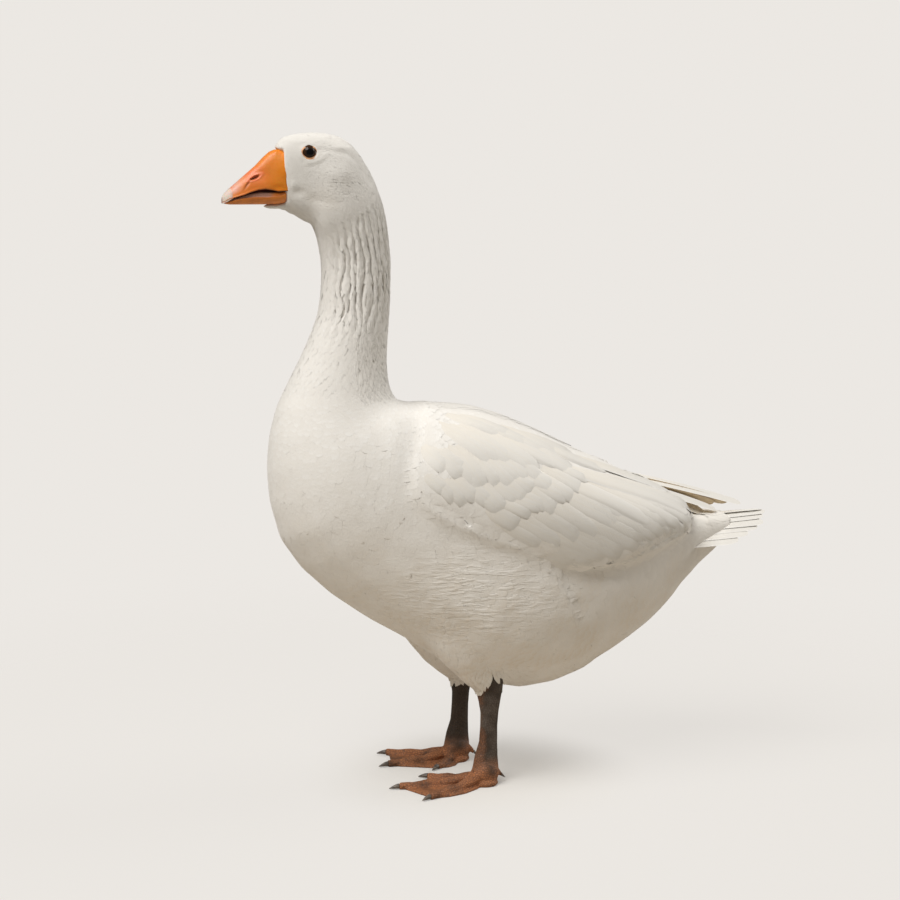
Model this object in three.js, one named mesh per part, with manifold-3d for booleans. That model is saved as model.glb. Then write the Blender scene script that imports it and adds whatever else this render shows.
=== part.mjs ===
// Domestic goose, life size, standing with its neck up. Millimetres, +Z up, bill towards -X, floor at z = 0.
// The origin ends up under the middle of the goose, half way from bill tip to tail tip.
import * as THREE from "three";
import { mergeVertices } from "three/addons/utils/BufferGeometryUtils.js";
import Module from "manifold-3d";

const wasm = await Module();
wasm.setup();

const SEAM = 0.3; // gap between neighbouring pieces
const ROUND = 24; // sides of the body's sections
const STEPS = 2; // rings between two body stations
const LEFT = -1; // side factors: the goose's left faces -Y
const RIGHT = 1;

// Sections of head, neck and trunk: where each meets the back line and the belly line (x, z), its half width,
// how far above (+) or below (-) its middle it is widest, as a share of its half height, and how round it is:
// 1 (if left out) for an oval, less for fuller corners.
const STATIONS = {
  face: { back: [-233.5, 672], front: [-222, 610], half: 15, widest: -0.15, full: 0.78 },
  brow: { back: [-224, 683], front: [-210, 603.5], half: 20, widest: -0.15, full: 0.78 },
  eye: { back: [-191, 687.5], front: [-198, 598], half: 24, widest: -0.22, full: 0.78 },
  crown: { back: [-160, 680.5], front: [-191, 585], half: 28.5, widest: -0.2, full: 0.78 },
  hindhead: { back: [-138, 655], front: [-188.5, 569], half: 30, widest: -0.1 },
  nape: { back: [-120.5, 615], front: [-186, 548], half: 29, widest: 0 },
  upperNeck: { back: [-112.8, 566], front: [-187, 523], half: 30, widest: 0 },
  midNeck: { back: [-113.5, 510], front: [-192, 495], half: 34, widest: 0 },
  lowerNeck: { back: [-118, 450], front: [-209, 455], half: 43, widest: 0 },
  neckBase: { back: [-111, 413], front: [-237, 397], half: 59, widest: 0 },
  shoulder: { back: [-92, 406], front: [-245, 333], half: 77, widest: 0 },
  breast: { back: [-62, 402], front: [-229.5, 260], half: 90, widest: 0 },
  keelFront: { back: [-22, 394], front: [-173, 199], half: 99, widest: 0 },
  flank: { back: [22, 373], front: [-90, 146], half: 105, widest: 0 },
  belly: { back: [72, 342], front: [-12, 99], half: 106, widest: 0 },
  paunch: { back: [122, 310], front: [62, 98], half: 96, widest: 0.08 },
  vent: { back: [172, 288], front: [131, 127], half: 74, widest: 0.18 },
  underTail: { back: [212, 279], front: [186, 164], half: 51, widest: 0.35 },
  tailRoot: { back: [244, 275], front: [222, 204], half: 36, widest: 0.42 },
  rump: { back: [272, 272], front: [254, 233], half: 25, widest: 0.3 },
};
// Where the body is parted, in stations from the face.
const CUTS = { head: 4.6, neck_upper: 7, neck_lower: 9.4 };

// Swelling of each flank over the thigh: its middle, its reach along x, y and z, and its height.
const FLANK_SWELL = { middle: [-42, 88, 181], reach: [78, 60, 62], height: 11 };

// Outer face of both folded wings over the back: height of the ridge, half width and height of the widest line.
const MANTLE = [
  { x: -122, ridge: 417, half: 101, widest: 311 },
  { x: -70, ridge: 407, half: 110, widest: 306 },
  { x: -20, ridge: 402, half: 117, widest: 295 },
  { x: 30, ridge: 384, half: 120, widest: 285 },
  { x: 80, ridge: 360, half: 115, widest: 276 },
  { x: 130, ridge: 337, half: 101, widest: 271 },
  { x: 180, ridge: 312, half: 77, widest: 268 },
  { x: 225, ridge: 287, half: 50, widest: 263 },
];
const WING_SIDES = 22;
const WING_PARTING = { from: [-80, 0.8], to: [215, 15] }; // half the gap between the wings, by x
const WING_DROP = 110; // how far the wing's outer face would run below its widest line
const ARM_END = 62; // behind this the wing is flight feathers

// The tail fan: where its root and its longest tip lie, how far its half width reaches at both ends,
// how much shorter its outermost feathers are, and how far its sides hang.
const TAIL = {
  feathers: 13,
  root: { x: 192, z: 267, half: 42, hang: 28 },
  tip: { x: 315, z: 268.5, half: 47, hang: 20 },
  shorten: 44,
  notch: 3,
  thick: [2, 0.7],
};

const PRIMARY = { width: 21, thick: 3.4, stack: 2, roll: 0.95 };
const PRIMARY_TIP = { left: [254, -8, 275], right: [291, 12, 279] };
const PRIMARY_ROOT = { x: 96, y: 40, z: 327 };

// Where the bill leaves the face and ends, how far its solids start inside the face before they are cut to
// meet it, and how far the upper tip hangs over the lower one.
const BILL = { base: -224, tip: -288, root: 10, overbite: 3 };
// Upper bill by share of its length: height of the ridge, height of the biting edge, half width.
const UPPER_BILL = [
  { ridge: 674.5, edge: 629, half: 15.2 },
  { ridge: 670.5, edge: 627.8, half: 15 },
  { ridge: 663, edge: 627.6, half: 14.4 },
  { ridge: 654, edge: 626.4, half: 13.6 },
  { ridge: 645.3, edge: 623.6, half: 12.8 },
  { ridge: 637, edge: 620.2, half: 11.8 },
  { ridge: 630, edge: 617.2, half: 9.4 },
  { ridge: 621.8, edge: 615.6, half: 3 },
];
const LOWER_BILL = [
  { keel: 617.6, half: 13.6 },
  { keel: 614.8, half: 13.6 },
  { keel: 614.2, half: 13 },
  { keel: 614.4, half: 12.2 },
  { keel: 614.6, half: 11.2 },
  { keel: 614.6, half: 9.6 },
  { keel: 614.5, half: 6.4 },
];
const NAIL_LENGTH = 13;

const CHIN = { middle: [-234, 0, 612.5], radii: [15, 8.5, 4.5] };

const EYE_SIDES = 10;
const HEAD_STEPS = 2.2; // rings between two stations of the head
const EYE = { at: [-200.8, 16.2, 666.6], radius: 8.5 };

// Each leg: how far behind its sections it stands, its y at the ankle and under the belly, how much higher than
// its sections its feathers end, and its foot's heel and claw points on the floor.
const LEGS = {
  left: {
    side: LEFT,
    back: -1.5,
    low: -53,
    high: -47,
    cuff: 8,
    heel: [-25, -57],
    tips: { middle: [-128, -50], outer: [-104, -98], inner: [-88, -17] },
  },
  right: {
    side: RIGHT,
    back: -8,
    low: 41,
    high: 45,
    cuff: 0,
    heel: [-31, 36],
    tips: { middle: [-121, 29], outer: [-112, 78], inner: [-68, 0] },
  },
};
// Sections of a leg, from the ankle up: height, middle, half depth and half width.
const SHANK = [
  { z: 8, x: -21.5, deep: 13, wide: 8.6 },
  { z: 16, x: -21.5, deep: 14.6, wide: 9 },
  { z: 30, x: -20.5, deep: 12.6, wide: 8 },
  { z: 45, x: -18, deep: 10, wide: 6.9 },
  { z: 62, x: -17, deep: 9.4, wide: 6.6 },
  { z: 76, x: -16, deep: 9.8, wide: 7 },
  { z: 89, x: -15.8, deep: 12, wide: 8.4 },
  { z: 100, x: -16, deep: 14.6, wide: 9 },
  { z: 116, x: -16, deep: 13, wide: 8.6 },
];
const THIGH = [
  { z: 94, x: -16, deep: 14.5, wide: 11 },
  { z: 101, x: -21, deep: 20, wide: 15 },
  { z: 114, x: -29, deep: 28, wide: 21 },
  { z: 126, x: -34, deep: 35, wide: 27 },
  { z: 139, x: -37, deep: 42, wide: 32 },
  { z: 156, x: -40, deep: 50, wide: 37 },
  { z: 187, x: -44, deep: 58, wide: 42 },
];

const TOE_RADIUS = { middle: 6.2, outer: 6.4, inner: 5.8 };
const TOE_KNUCKLE = 0.07; // swelling at each joint
const TOE_SINK = 0.86; // toe middle above the floor, in radii, so that each toe rests on a flat
const CLAW = { length: 11, radius: 2.8 };
const WEB = { thick: 2.2, reach: 0.96, hollow: 0.01, fringe: 22 };
const ANKLE = { x: 0, z: 12, radii: [16, 11, 13], rise: 8, slope: 0.6 };
const HEEL_PAD = { radii: [15, 14, 6], z: 2.5 };
const HIND_TOE = { root: [11, 2, 17], length: 8, fall: 8, radius: 4.2 };

const TINT = {
  plumage: { color: "#f1eee8", roughness: 0.85 },
  quill: { color: "#ebe7df", roughness: 0.6 },
  bill: { color: "#e2762b", roughness: 0.45 },
  nail: { color: "#e8c3b3", roughness: 0.4 },
  leg: { color: "#5c4433", roughness: 0.7 },
  web: { color: "#8c4a2c", roughness: 0.65 },
  claw: { color: "#4b4540", roughness: 0.5 },
  eye: { color: "#15110f", roughness: 0.08 },
};

const goose = new THREE.Group();
const at = (p) => new THREE.Vector3(...p);
const degrees = THREE.MathUtils.degToRad;
const lerp = THREE.MathUtils.lerp;

// Turns a closed mesh so that its faces point out.
function facingOut(geometry) {
  const p = geometry.attributes.position;
  const index = geometry.index.array;
  const [a, b, c] = [new THREE.Vector3(), new THREE.Vector3(), new THREE.Vector3()];
  let volume = 0;
  for (let i = 0; i < index.length; i += 3) {
    a.fromBufferAttribute(p, index[i]);
    b.fromBufferAttribute(p, index[i + 1]);
    c.fromBufferAttribute(p, index[i + 2]);
    volume += a.dot(b.cross(c));
  }
  if (volume < 0)
    for (let i = 0; i < index.length; i += 3)
      [index[i + 1], index[i + 2]] = [index[i + 2], index[i + 1]];
  return geometry;
}

// A closed skin through rings of points, each fanned shut at its own middle at the two ends.
function loft(rings) {
  const count = rings[0].length;
  const points = rings.flat();
  const index = [];
  for (let r = 0; r + 1 < rings.length; r++)
    for (let i = 0; i < count; i++) {
      const here = r * count + i;
      const next = r * count + ((i + 1) % count);
      index.push(here, next, here + count, next, next + count, here + count);
    }
  for (const [r, turned] of [[0, true], [rings.length - 1, false]]) {
    const middle = new THREE.Vector3();
    rings[r].forEach((p) => middle.addScaledVector(p, 1 / count));
    const hub = points.push(middle) - 1;
    for (let i = 0; i < count; i++) {
      const here = r * count + i;
      const next = r * count + ((i + 1) % count);
      index.push(...(turned ? [hub, next, here] : [hub, here, next]));
    }
  }
  const geometry = new THREE.BufferGeometry().setFromPoints(points).setIndex(index);
  return facingOut(geometry);
}

// A closed geometry as a manifold-3d solid, and back.
function solidOf(geometry) {
  const bare = geometry.clone();
  bare.deleteAttribute("normal");
  bare.deleteAttribute("uv");
  const merged = facingOut(mergeVertices(bare, 1e-4));
  return new wasm.Manifold(
    new wasm.Mesh({
      numProp: 3,
      vertProperties: merged.attributes.position.array,
      triVerts: new Uint32Array(merged.index.array),
    }),
  );
}

function geometryOf(solid) {
  const mesh = solid.getMesh();
  const points = new Float32Array(mesh.numVert * 3);
  for (let v = 0; v < mesh.numVert; v++)
    points.set(mesh.vertProperties.subarray(v * mesh.numProp, v * mesh.numProp + 3), v * 3);
  return new THREE.BufferGeometry()
    .setAttribute("position", new THREE.BufferAttribute(points, 3))
    .setIndex(new THREE.BufferAttribute(mesh.triVerts, 1));
}

function largest(solid) {
  return solid.decompose().reduce((a, b) => (a.volume() > b.volume() ? a : b));
}

function add(name, solid, tint) {
  const geometry = geometryOf(largest(solid));
  geometry.computeVertexNormals();
  const mesh = new THREE.Mesh(geometry, new THREE.MeshStandardMaterial(tint));
  mesh.name = name;
  goose.add(mesh);
}

const box = (low, high) =>
  solidOf(
    new THREE.BoxGeometry(high[0] - low[0], high[1] - low[1], high[2] - low[2]).translate(
      (low[0] + high[0]) / 2,
      (low[1] + high[1]) / 2,
      (low[2] + high[2]) / 2,
    ),
  );

const ball = (middle, radii, detail = 16) =>
  solidOf(
    new THREE.SphereGeometry(1, detail, detail / 2).scale(...radii).translate(...middle),
  );

// ---- head, neck and trunk ----

const stationList = Object.values(STATIONS);
const backLine = new THREE.CatmullRomCurve3(
  stationList.map((s) => new THREE.Vector3(s.back[0], 0, s.back[1])),
  false,
  "catmullrom",
  0.5,
);
const frontLine = new THREE.CatmullRomCurve3(
  stationList.map((s) => new THREE.Vector3(s.front[0], 0, s.front[1])),
  false,
  "catmullrom",
  0.5,
);
const girth = new THREE.CatmullRomCurve3(
  stationList.map((s) => new THREE.Vector3(s.half, s.widest, s.full ?? 1)),
  false,
  "catmullrom",
  0.5,
);

// 1 at the middle of a swelling on either side, falling away to nothing with distance.
function nearness(p, { middle, reach }) {
  const away = [p.x - middle[0], Math.abs(p.y) - middle[1], p.z - middle[2]];
  return Math.exp(-away.reduce((sum, d, i) => sum + (d / reach[i]) ** 2, 0));
}

// The body's section at a place counted in stations, grown outwards by a margin.
function bodyRing(place, margin = 0) {
  const t = THREE.MathUtils.clamp(place / (stationList.length - 1), 0, 1);
  const back = backLine.getPoint(t);
  const front = frontLine.getPoint(t);
  const { x: half, y: widest, z: full } = girth.getPoint(t);
  const middle = back.clone().add(front).multiplyScalar(0.5);
  const rise = back.clone().sub(front).multiplyScalar(0.5);
  rise.setLength(rise.length() + margin);
  const ring = [];
  for (let i = 0; i < ROUND; i++) {
    const a = (2 * Math.PI * i) / ROUND;
    const [c, s] = [Math.cos(a), Math.sin(a)].map((v) => Math.sign(v) * Math.abs(v) ** full);
    const p = middle.clone().addScaledVector(rise, c + widest * (1 - c * c));
    p.y = (half + margin) * s;
    const swell = FLANK_SWELL.height * nearness(p, FLANK_SWELL);
    p.y += Math.sign(p.y) * swell;
    p.z -= swell * 0.3;
    ring.push(p);
  }
  return ring;
}

function bodyLength(from, to, margin = 0, steps = STEPS) {
  const rings = [];
  const count = Math.max(2, Math.round((to - from) * steps));
  for (let i = 0; i <= count; i++) rings.push(bodyRing(lerp(from, to, i / count), margin));
  return solidOf(loft(rings));
}

// Half the seam, in stations, at a place along the body.
function seamAt(place) {
  const step = 0.01;
  const a = bodyRing(place)[0];
  const b = bodyRing(place + step)[0];
  return (SEAM * step) / a.distanceTo(b);
}

const last = stationList.length - 1;
const trunkSolid = (margin = 0) => bodyLength(CUTS.neck_lower, last, margin);

// ---- wings ----

const mantleCurve = (key) =>
  new THREE.CatmullRomCurve3(
    MANTLE.map((m) => new THREE.Vector3(m.x, m[key], 0)),
    false,
    "catmullrom",
    0.5,
  );
const [ridge, half, widest] = ["ridge", "half", "widest"].map(mantleCurve);

// Both wings' outer face as one closed roof, from the ridge round to the widest line and on below it.
function mantleSolid() {
  const rings = [];
  const count = (MANTLE.length - 1) * STEPS;
  for (let i = 0; i <= count; i++) {
    const t = i / count;
    const top = ridge.getPoint(t);
    const side = half.getPoint(t).y;
    const level = widest.getPoint(t).y;
    const ring = [];
    for (let k = 0; k < WING_SIDES; k++) {
      const a = (2 * Math.PI * k) / WING_SIDES;
      const up = Math.cos(a);
      const z = level + (up > 0 ? (top.y - level) * up : WING_DROP * up);
      ring.push(new THREE.Vector3(top.x, side * Math.sin(a), z));
    }
    rings.push(ring);
  }
  return solidOf(loft(rings));
}

// Outline of the left wing seen from its side.
function wingOutline() {
  const shape = new THREE.Shape();
  shape.moveTo(-112, 325);
  shape.quadraticCurveTo(-104, 309, -80, 295);
  shape.quadraticCurveTo(-40, 275, -4, 264);
  shape.quadraticCurveTo(22, 247, 44, 241);
  shape.quadraticCurveTo(84, 231, 122, 239);
  shape.quadraticCurveTo(166, 246, 190, 257);
  shape.quadraticCurveTo(207, 267, 212, 279);
  shape.quadraticCurveTo(214, 287, 206, 293);
  shape.lineTo(206, 423);
  shape.lineTo(-64, 423);
  shape.quadraticCurveTo(-118, 375, -112, 325);
  return shape;
}

function sidePrism(shape, deep) {
  const prism = new THREE.ExtrudeGeometry(shape, { depth: deep, bevelEnabled: false, curveSegments: 4 });
  prism.rotateX(Math.PI / 2); // outline x, z; thickness towards -Y
  return prism;
}

// The space kept free between the wings, which widens towards their tips.
function parting() {
  const { from, to } = WING_PARTING;
  const shape = new THREE.Shape();
  shape.moveTo(-400, from[1]);
  shape.lineTo(from[0], from[1]);
  shape.lineTo(...to);
  shape.lineTo(400, to[1]);
  shape.lineTo(400, -to[1]);
  shape.lineTo(to[0], -to[1]);
  shape.lineTo(from[0], -from[1]);
  shape.lineTo(-400, -from[1]);
  return solidOf(new THREE.ExtrudeGeometry(shape, { depth: 700, bevelEnabled: false }));
}

// A feather's blade in the XY plane, root at the origin, tip at (length, 0, 0), a little arched across.
function blade(length, width, thick) {
  const rings = [];
  const steps = 6;
  const [rootWidth, widest, arch, outer] = [0.55, 0.55, 0.12, 0.8];
  for (let i = 0; i <= steps; i++) {
    const s = i / steps;
    const swelling = lerp(rootWidth, 1, Math.sin((s / widest) * (Math.PI / 2)));
    const rounding = Math.sqrt(Math.max(0, 1 - ((s - widest) / (1 - widest)) ** 2));
    const reach = Math.max((width / 2) * (s < widest ? swelling : rounding), outer);
    const flat = Math.max(thick * (1 - 0.5 * s), 0.5) / 2;
    const ring = [];
    for (const [across, up] of [[-1, -1], [0, -1], [1, -1], [1, 1], [0, 1], [-1, 1]])
      ring.push(new THREE.Vector3(length * s, across * reach, up * flat - arch * across ** 2 * reach));
    rings.push(ring);
  }
  return loft(rings);
}

// Lays a blade from one point to another, rolled about its own length.
function layBlade(geometry, from, to, roll = 0) {
  const along = to.clone().sub(from).normalize();
  const up = new THREE.Vector3(0, 0, 1).applyAxisAngle(new THREE.Vector3(1, 0, 0), roll);
  const across = up.clone().cross(along).normalize();
  const matrix = new THREE.Matrix4().makeBasis(along, across, along.clone().cross(across));
  return solidOf(geometry.applyMatrix4(matrix.setPosition(from)));
}

// ---- tail ----

// Half the seam wider than its own outline where something else is cut to clear it.
function tailSolid(margin = 0) {
  const { feathers, root, tip, shorten, notch, thick } = TAIL;
  const rings = [];
  const slices = feathers * 2;
  for (let i = 0; i <= slices; i++) {
    const side = (2 * i) / slices - 1;
    const out = Math.abs(side);
    const y = (half) => side * (half + margin);
    const back = tip.x - shorten * out ** 2 - (i % 2 ? 0 : notch) + margin;
    const low = [root.z - root.hang * out ** 1.3, tip.z - tip.hang * out ** 1.3];
    const [rootThick, tipThick] = thick.map((t) => t / 2 + margin);
    rings.push([
      new THREE.Vector3(root.x - margin, y(root.half), low[0] + rootThick),
      new THREE.Vector3(back, y(tip.half), low[1] + tipThick),
      new THREE.Vector3(back, y(tip.half), low[1] - tipThick),
      new THREE.Vector3(root.x - margin, y(root.half), low[0] - rootThick),
    ]);
  }
  return solidOf(loft(rings));
}

// ---- folded wing tips ----

function primariesSolid(side, margin = 0) {
  const name = side === LEFT ? "left" : "right";
  const tip = at(PRIMARY_TIP[name]);
  let stack = null;
  for (let i = 0; i < PRIMARY.stack; i++) {
    const share = i / PRIMARY.stack;
    const root = new THREE.Vector3(PRIMARY_ROOT.x, side * (PRIMARY_ROOT.y - 3 * i), PRIMARY_ROOT.z + 2 * i);
    const end = tip.clone().lerp(root, share * 0.3);
    end.y += side * share * 5;
    end.z += share * 3;
    const feather = blade(root.distanceTo(end), PRIMARY.width + 2 * margin, PRIMARY.thick + 2 * margin);
    const laid = layBlade(feather, root, end, -side * PRIMARY.roll);
    stack = stack ? stack.add(laid) : laid;
  }
  return stack;
}

function wings(obstacles) {
  const roof = mantleSolid().subtract(parting());
  for (const side of [LEFT, RIGHT]) {
    const prism = sidePrism(wingOutline(), 160);
    if (side === RIGHT) prism.scale(1, -1, 1);
    let wing = roof.intersect(solidOf(prism));
    for (const solid of obstacles) wing = wing.subtract(solid);
    const name = side === LEFT ? "left" : "right";
    const front = box([-400, -300, 0], [ARM_END - SEAM / 2, 300, 700]);
    const rear = box([ARM_END + SEAM / 2, -300, 0], [400, 300, 700]);
    add(`wing_${name}`, wing.intersect(front), TINT.plumage);
    add(`flight_feathers_${name}`, wing.intersect(rear), TINT.quill);
  }
}

// ---- head ----

// One measure of the bill at a share of its length, from a list of evenly spaced ones.
const billShare = (key, list, share) => {
  const place = THREE.MathUtils.clamp(share, 0, 1) * (list.length - 1);
  const i = Math.min(Math.floor(place), list.length - 2);
  return lerp(list[i][key], list[i + 1][key], place - i);
};

// Upper bill: an arch over a flat biting edge.
function upperBillSolid() {
  const rings = [];
  const count = 9;
  for (let i = -1; i <= count; i++) {
    const x = i < 0 ? BILL.base + BILL.root : lerp(BILL.base, BILL.tip, 1 - (1 - i / count) ** 1.15);
    const along = i < 0 ? 0 : (x - BILL.base) / (BILL.tip - BILL.base);
    const [ridge, edge, half] = ["ridge", "edge", "half"].map((key) => billShare(key, UPPER_BILL, along));
    const ring = [];
    for (let k = 0; k <= 10; k++) {
      const a = (Math.PI * k) / 10;
      const narrow = 1 - 0.45 * Math.sin(a) ** 2;
      ring.push(new THREE.Vector3(x, half * Math.cos(a) * narrow, edge + (ridge - edge) * Math.sin(a)));
    }
    ring.push(new THREE.Vector3(x, 0, edge));
    rings.push(ring);
  }
  return solidOf(loft(rings));
}

// Lower bill: a shallow trough's outside, under the upper bill's edge.
function lowerBillSolid() {
  const rings = [];
  const count = 8;
  const tip = BILL.tip + BILL.overbite;
  for (let i = -1; i <= count; i++) {
    const share = Math.max(i, 0) / count;
    const x = i < 0 ? BILL.base + BILL.root : lerp(BILL.base, tip, 1 - (1 - share) ** 1.15);
    const along = i < 0 ? 0 : (x - BILL.base) / (tip - BILL.base);
    const top = billShare("edge", UPPER_BILL, i < 0 ? 0 : (x - BILL.base) / (BILL.tip - BILL.base)) - SEAM;
    const keel = Math.min(billShare("keel", LOWER_BILL, along), top - 1);
    const half = billShare("half", LOWER_BILL, along);
    const ring = [];
    for (let k = 0; k <= 8; k++) {
      const a = Math.PI + (Math.PI * k) / 8;
      ring.push(new THREE.Vector3(x, half * Math.cos(a), top + (top - keel) * Math.sin(a)));
    }
    ring.push(new THREE.Vector3(x, 0, top));
    rings.push(ring);
  }
  return solidOf(loft(rings));
}

function head() {
  const end = CUTS.head - seamAt(CUTS.head);
  const chin = (margin) => ball(CHIN.middle, CHIN.radii.map((r) => r + margin), 12);
  const skin = (margin) => bodyLength(0, end, margin, HEAD_STEPS).add(chin(margin));
  let skull = skin(0);
  const fat = skin(SEAM);
  for (const side of [LEFT, RIGHT]) {
    const middle = [EYE.at[0], side * EYE.at[1], EYE.at[2]];
    skull = skull.subtract(ball(middle, Array(3).fill(EYE.radius + SEAM), EYE_SIDES));
    const eye = ball(middle, Array(3).fill(EYE.radius), EYE_SIDES);
    add(side === LEFT ? "eye_left" : "eye_right", eye, TINT.eye);
  }
  add("head", skull, TINT.plumage);
  const upper = upperBillSolid().subtract(fat);
  const tip = BILL.tip + NAIL_LENGTH;
  add("bill_upper", upper.intersect(box([tip + SEAM / 2, -60, 500], [-150, 60, 700])), TINT.bill);
  add("bill_nail", upper.intersect(box([-400, -60, 500], [tip - SEAM / 2, 60, 700])), TINT.nail);
  add("bill_lower", lowerBillSolid().subtract(fat), TINT.bill);
}

// ---- legs ----

// Where a leg's middle runs, from ankle to belly.
function legY({ low, high }, z) {
  return lerp(low, high, THREE.MathUtils.clamp((z - 10) / 90, 0, 1));
}

function ovals(list, leg, { margin = 0, lift = 0, sides = 12 } = {}) {
  const rings = list.map(({ z, x, deep, wide }) => {
    const ring = [];
    for (let i = 0; i < sides; i++) {
      const a = (2 * Math.PI * i) / sides;
      const across = (wide + margin) * Math.sin(a);
      const along = (deep + margin) * Math.cos(a);
      ring.push(new THREE.Vector3(x + leg.back + along, legY(leg, z) + across, z + lift));
    }
    return ring;
  });
  return solidOf(loft(rings));
}

// A toe or claw: round sections along a straight line, from one height to another.
function finger(root, direction, length, radiusAt, heightAt, sides = 7, steps = 6) {
  const across = new THREE.Vector3(-direction.y, direction.x, 0).normalize();
  const rings = [];
  for (let i = 0; i <= steps; i++) {
    const s = i / steps;
    const middle = root.clone().addScaledVector(direction, length * s);
    middle.z = heightAt(s);
    const ring = [];
    for (let k = 0; k < sides; k++) {
      const a = (2 * Math.PI * k) / sides;
      const p = middle.clone().addScaledVector(across, radiusAt(s) * Math.cos(a));
      p.z += radiusAt(s) * Math.sin(a);
      ring.push(p);
    }
    rings.push(ring);
  }
  return solidOf(loft(rings));
}

const ankleBall = (heel, margin = 0) =>
  ball([heel.x + ANKLE.x, heel.y, ANKLE.z], ANKLE.radii.map((r) => r + margin), 12);

function foot(name, leg) {
  const heel = new THREE.Vector3(...leg.heel, 0);
  let solid = ankleBall(heel).add(ball([heel.x, heel.y, HEEL_PAD.z], HEEL_PAD.radii, 10));
  const webAt = {};
  for (const [toe, radius] of Object.entries(TOE_RADIUS)) {
    const tip = new THREE.Vector3(...leg.tips[toe], 0);
    const length = heel.distanceTo(tip) - CLAW.length;
    const direction = tip.clone().sub(heel).normalize();
    const radiusAt = (s) => radius * (1 - 0.4 * s) * (1 + TOE_KNUCKLE * Math.cos(6 * Math.PI * s));
    const heightAt = (s) => radiusAt(s) * TOE_SINK + ANKLE.rise * Math.max(0, 1 - s / ANKLE.slope) ** 2;
    solid = solid.add(finger(heel, direction, length, radiusAt, heightAt));
    webAt[toe] = heel.clone().addScaledVector(direction, length * WEB.reach);
    const clawRoot = heel.clone().addScaledVector(direction, length + SEAM);
    const clawRadius = (s) => CLAW.radius * (1 - 0.82 * s ** 1.4);
    const clawHeight = (s) => lerp(CLAW.radius + 0.9, 1.4, s ** 1.6);
    const claw = finger(clawRoot, direction, CLAW.length - SEAM, clawRadius, clawHeight, 6, 3);
    add(`claw_${toe}_${name}`, claw, TINT.claw);
  }
  // The web, hung between the toes, with a fringe along the outer and inner one.
  const shape = new THREE.Shape();
  const bend = (a, b) => webAt[a].clone().lerp(webAt[b], 0.5).lerp(heel, WEB.hollow);
  const side = (toe, turn) => {
    const middle = webAt[toe].clone().lerp(heel, 0.5);
    const out = webAt[toe].clone().sub(heel).normalize().multiplyScalar(WEB.fringe * turn);
    return new THREE.Vector3(middle.x - out.y, middle.y + out.x, 0);
  };
  const edges = [
    [side("outer", -leg.side), webAt.outer],
    [bend("outer", "middle"), webAt.middle],
    [bend("middle", "inner"), webAt.inner],
    [side("inner", leg.side), heel],
  ];
  shape.moveTo(heel.x, heel.y);
  for (const [pull, end] of edges) shape.quadraticCurveTo(pull.x, pull.y, end.x, end.y);
  const web = new THREE.ExtrudeGeometry(shape, { depth: WEB.thick, bevelEnabled: false, curveSegments: 4 });
  const floor = box([-400, -300, 0], [400, 300, 200]);
  solid = solid.add(solidOf(web)).intersect(floor).subtract(ovals(SHANK, leg, { margin: SEAM }));
  add(`foot_${name}`, solid, TINT.web);
  hindToe(name, leg, heel);
}

function hindToe(name, leg, heel) {
  const { length, fall, radius } = HIND_TOE;
  const [back, inwards, height] = HIND_TOE.root;
  const root = new THREE.Vector3(heel.x + back, heel.y - leg.side * inwards, 0);
  const direction = new THREE.Vector3(1, -leg.side * 0.2, 0).normalize();
  const clear = ovals(SHANK, leg, { margin: SEAM }).add(ankleBall(heel, SEAM));
  const toeRadius = (s) => radius * (1 - 0.3 * s);
  const toe = finger(root, direction, length, toeRadius, (s) => height - fall * s, 8, 3);
  add(`hind_toe_${name}`, toe.subtract(clear), TINT.leg);
  const clawRoot = root.clone().addScaledVector(direction, length + SEAM);
  const clawHeight = (s) => lerp(height - fall, 4.5, s);
  const clawRadius = (s) => CLAW.radius * 0.85 * (1 - 0.8 * s);
  add(`claw_hind_${name}`, finger(clawRoot, direction, 5, clawRadius, clawHeight, 6, 2), TINT.claw);
}

function addLeg(name, trunkFat) {
  const leg = LEGS[name];
  const shank = ovals(SHANK, leg).subtract(trunkFat);
  const thigh = ovals(THIGH, leg, { lift: leg.cuff, sides: 16 });
  const shankFat = ovals(SHANK, leg, { margin: SEAM });
  add(`shank_${name}`, shank, TINT.leg);
  add(`thigh_${name}`, thigh.subtract(trunkFat).subtract(shankFat), TINT.plumage);
  foot(name, leg);
}

// ---- putting the goose together ----

const trunkFat = trunkSolid(SEAM + 0.1);
const neckCut = (name, from, to) =>
  add(name, bodyLength(from + seamAt(from), to - seamAt(to)), TINT.plumage);

head();
neckCut("neck_upper", CUTS.head, CUTS.neck_upper);
neckCut("neck_lower", CUTS.neck_upper, CUTS.neck_lower);
add("trunk", trunkSolid(), TINT.plumage);
add("tail", tailSolid().subtract(trunkFat), TINT.quill);
const tailFat = tailSolid(SEAM);
for (const side of [LEFT, RIGHT]) {
  const tips = primariesSolid(side).subtract(trunkFat).subtract(tailFat);
  const other = side === RIGHT ? tips : tips.subtract(primariesSolid(RIGHT, SEAM));
  add(side === LEFT ? "primaries_left" : "primaries_right", other, TINT.quill);
}
wings([trunkFat, tailFat, primariesSolid(LEFT, SEAM), primariesSolid(RIGHT, SEAM)]);
addLeg("left", trunkFat);
addLeg("right", trunkFat);

// Centres the goose over the origin.
const bounds = new THREE.Box3().setFromObject(goose);
goose.position.x = -(bounds.min.x + bounds.max.x) / 2;

export default goose;
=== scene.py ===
import math

import bmesh
import bpy
import numpy as np
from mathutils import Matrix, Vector
from mathutils.bvhtree import BVHTree
from mathutils.kdtree import KDTree


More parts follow.
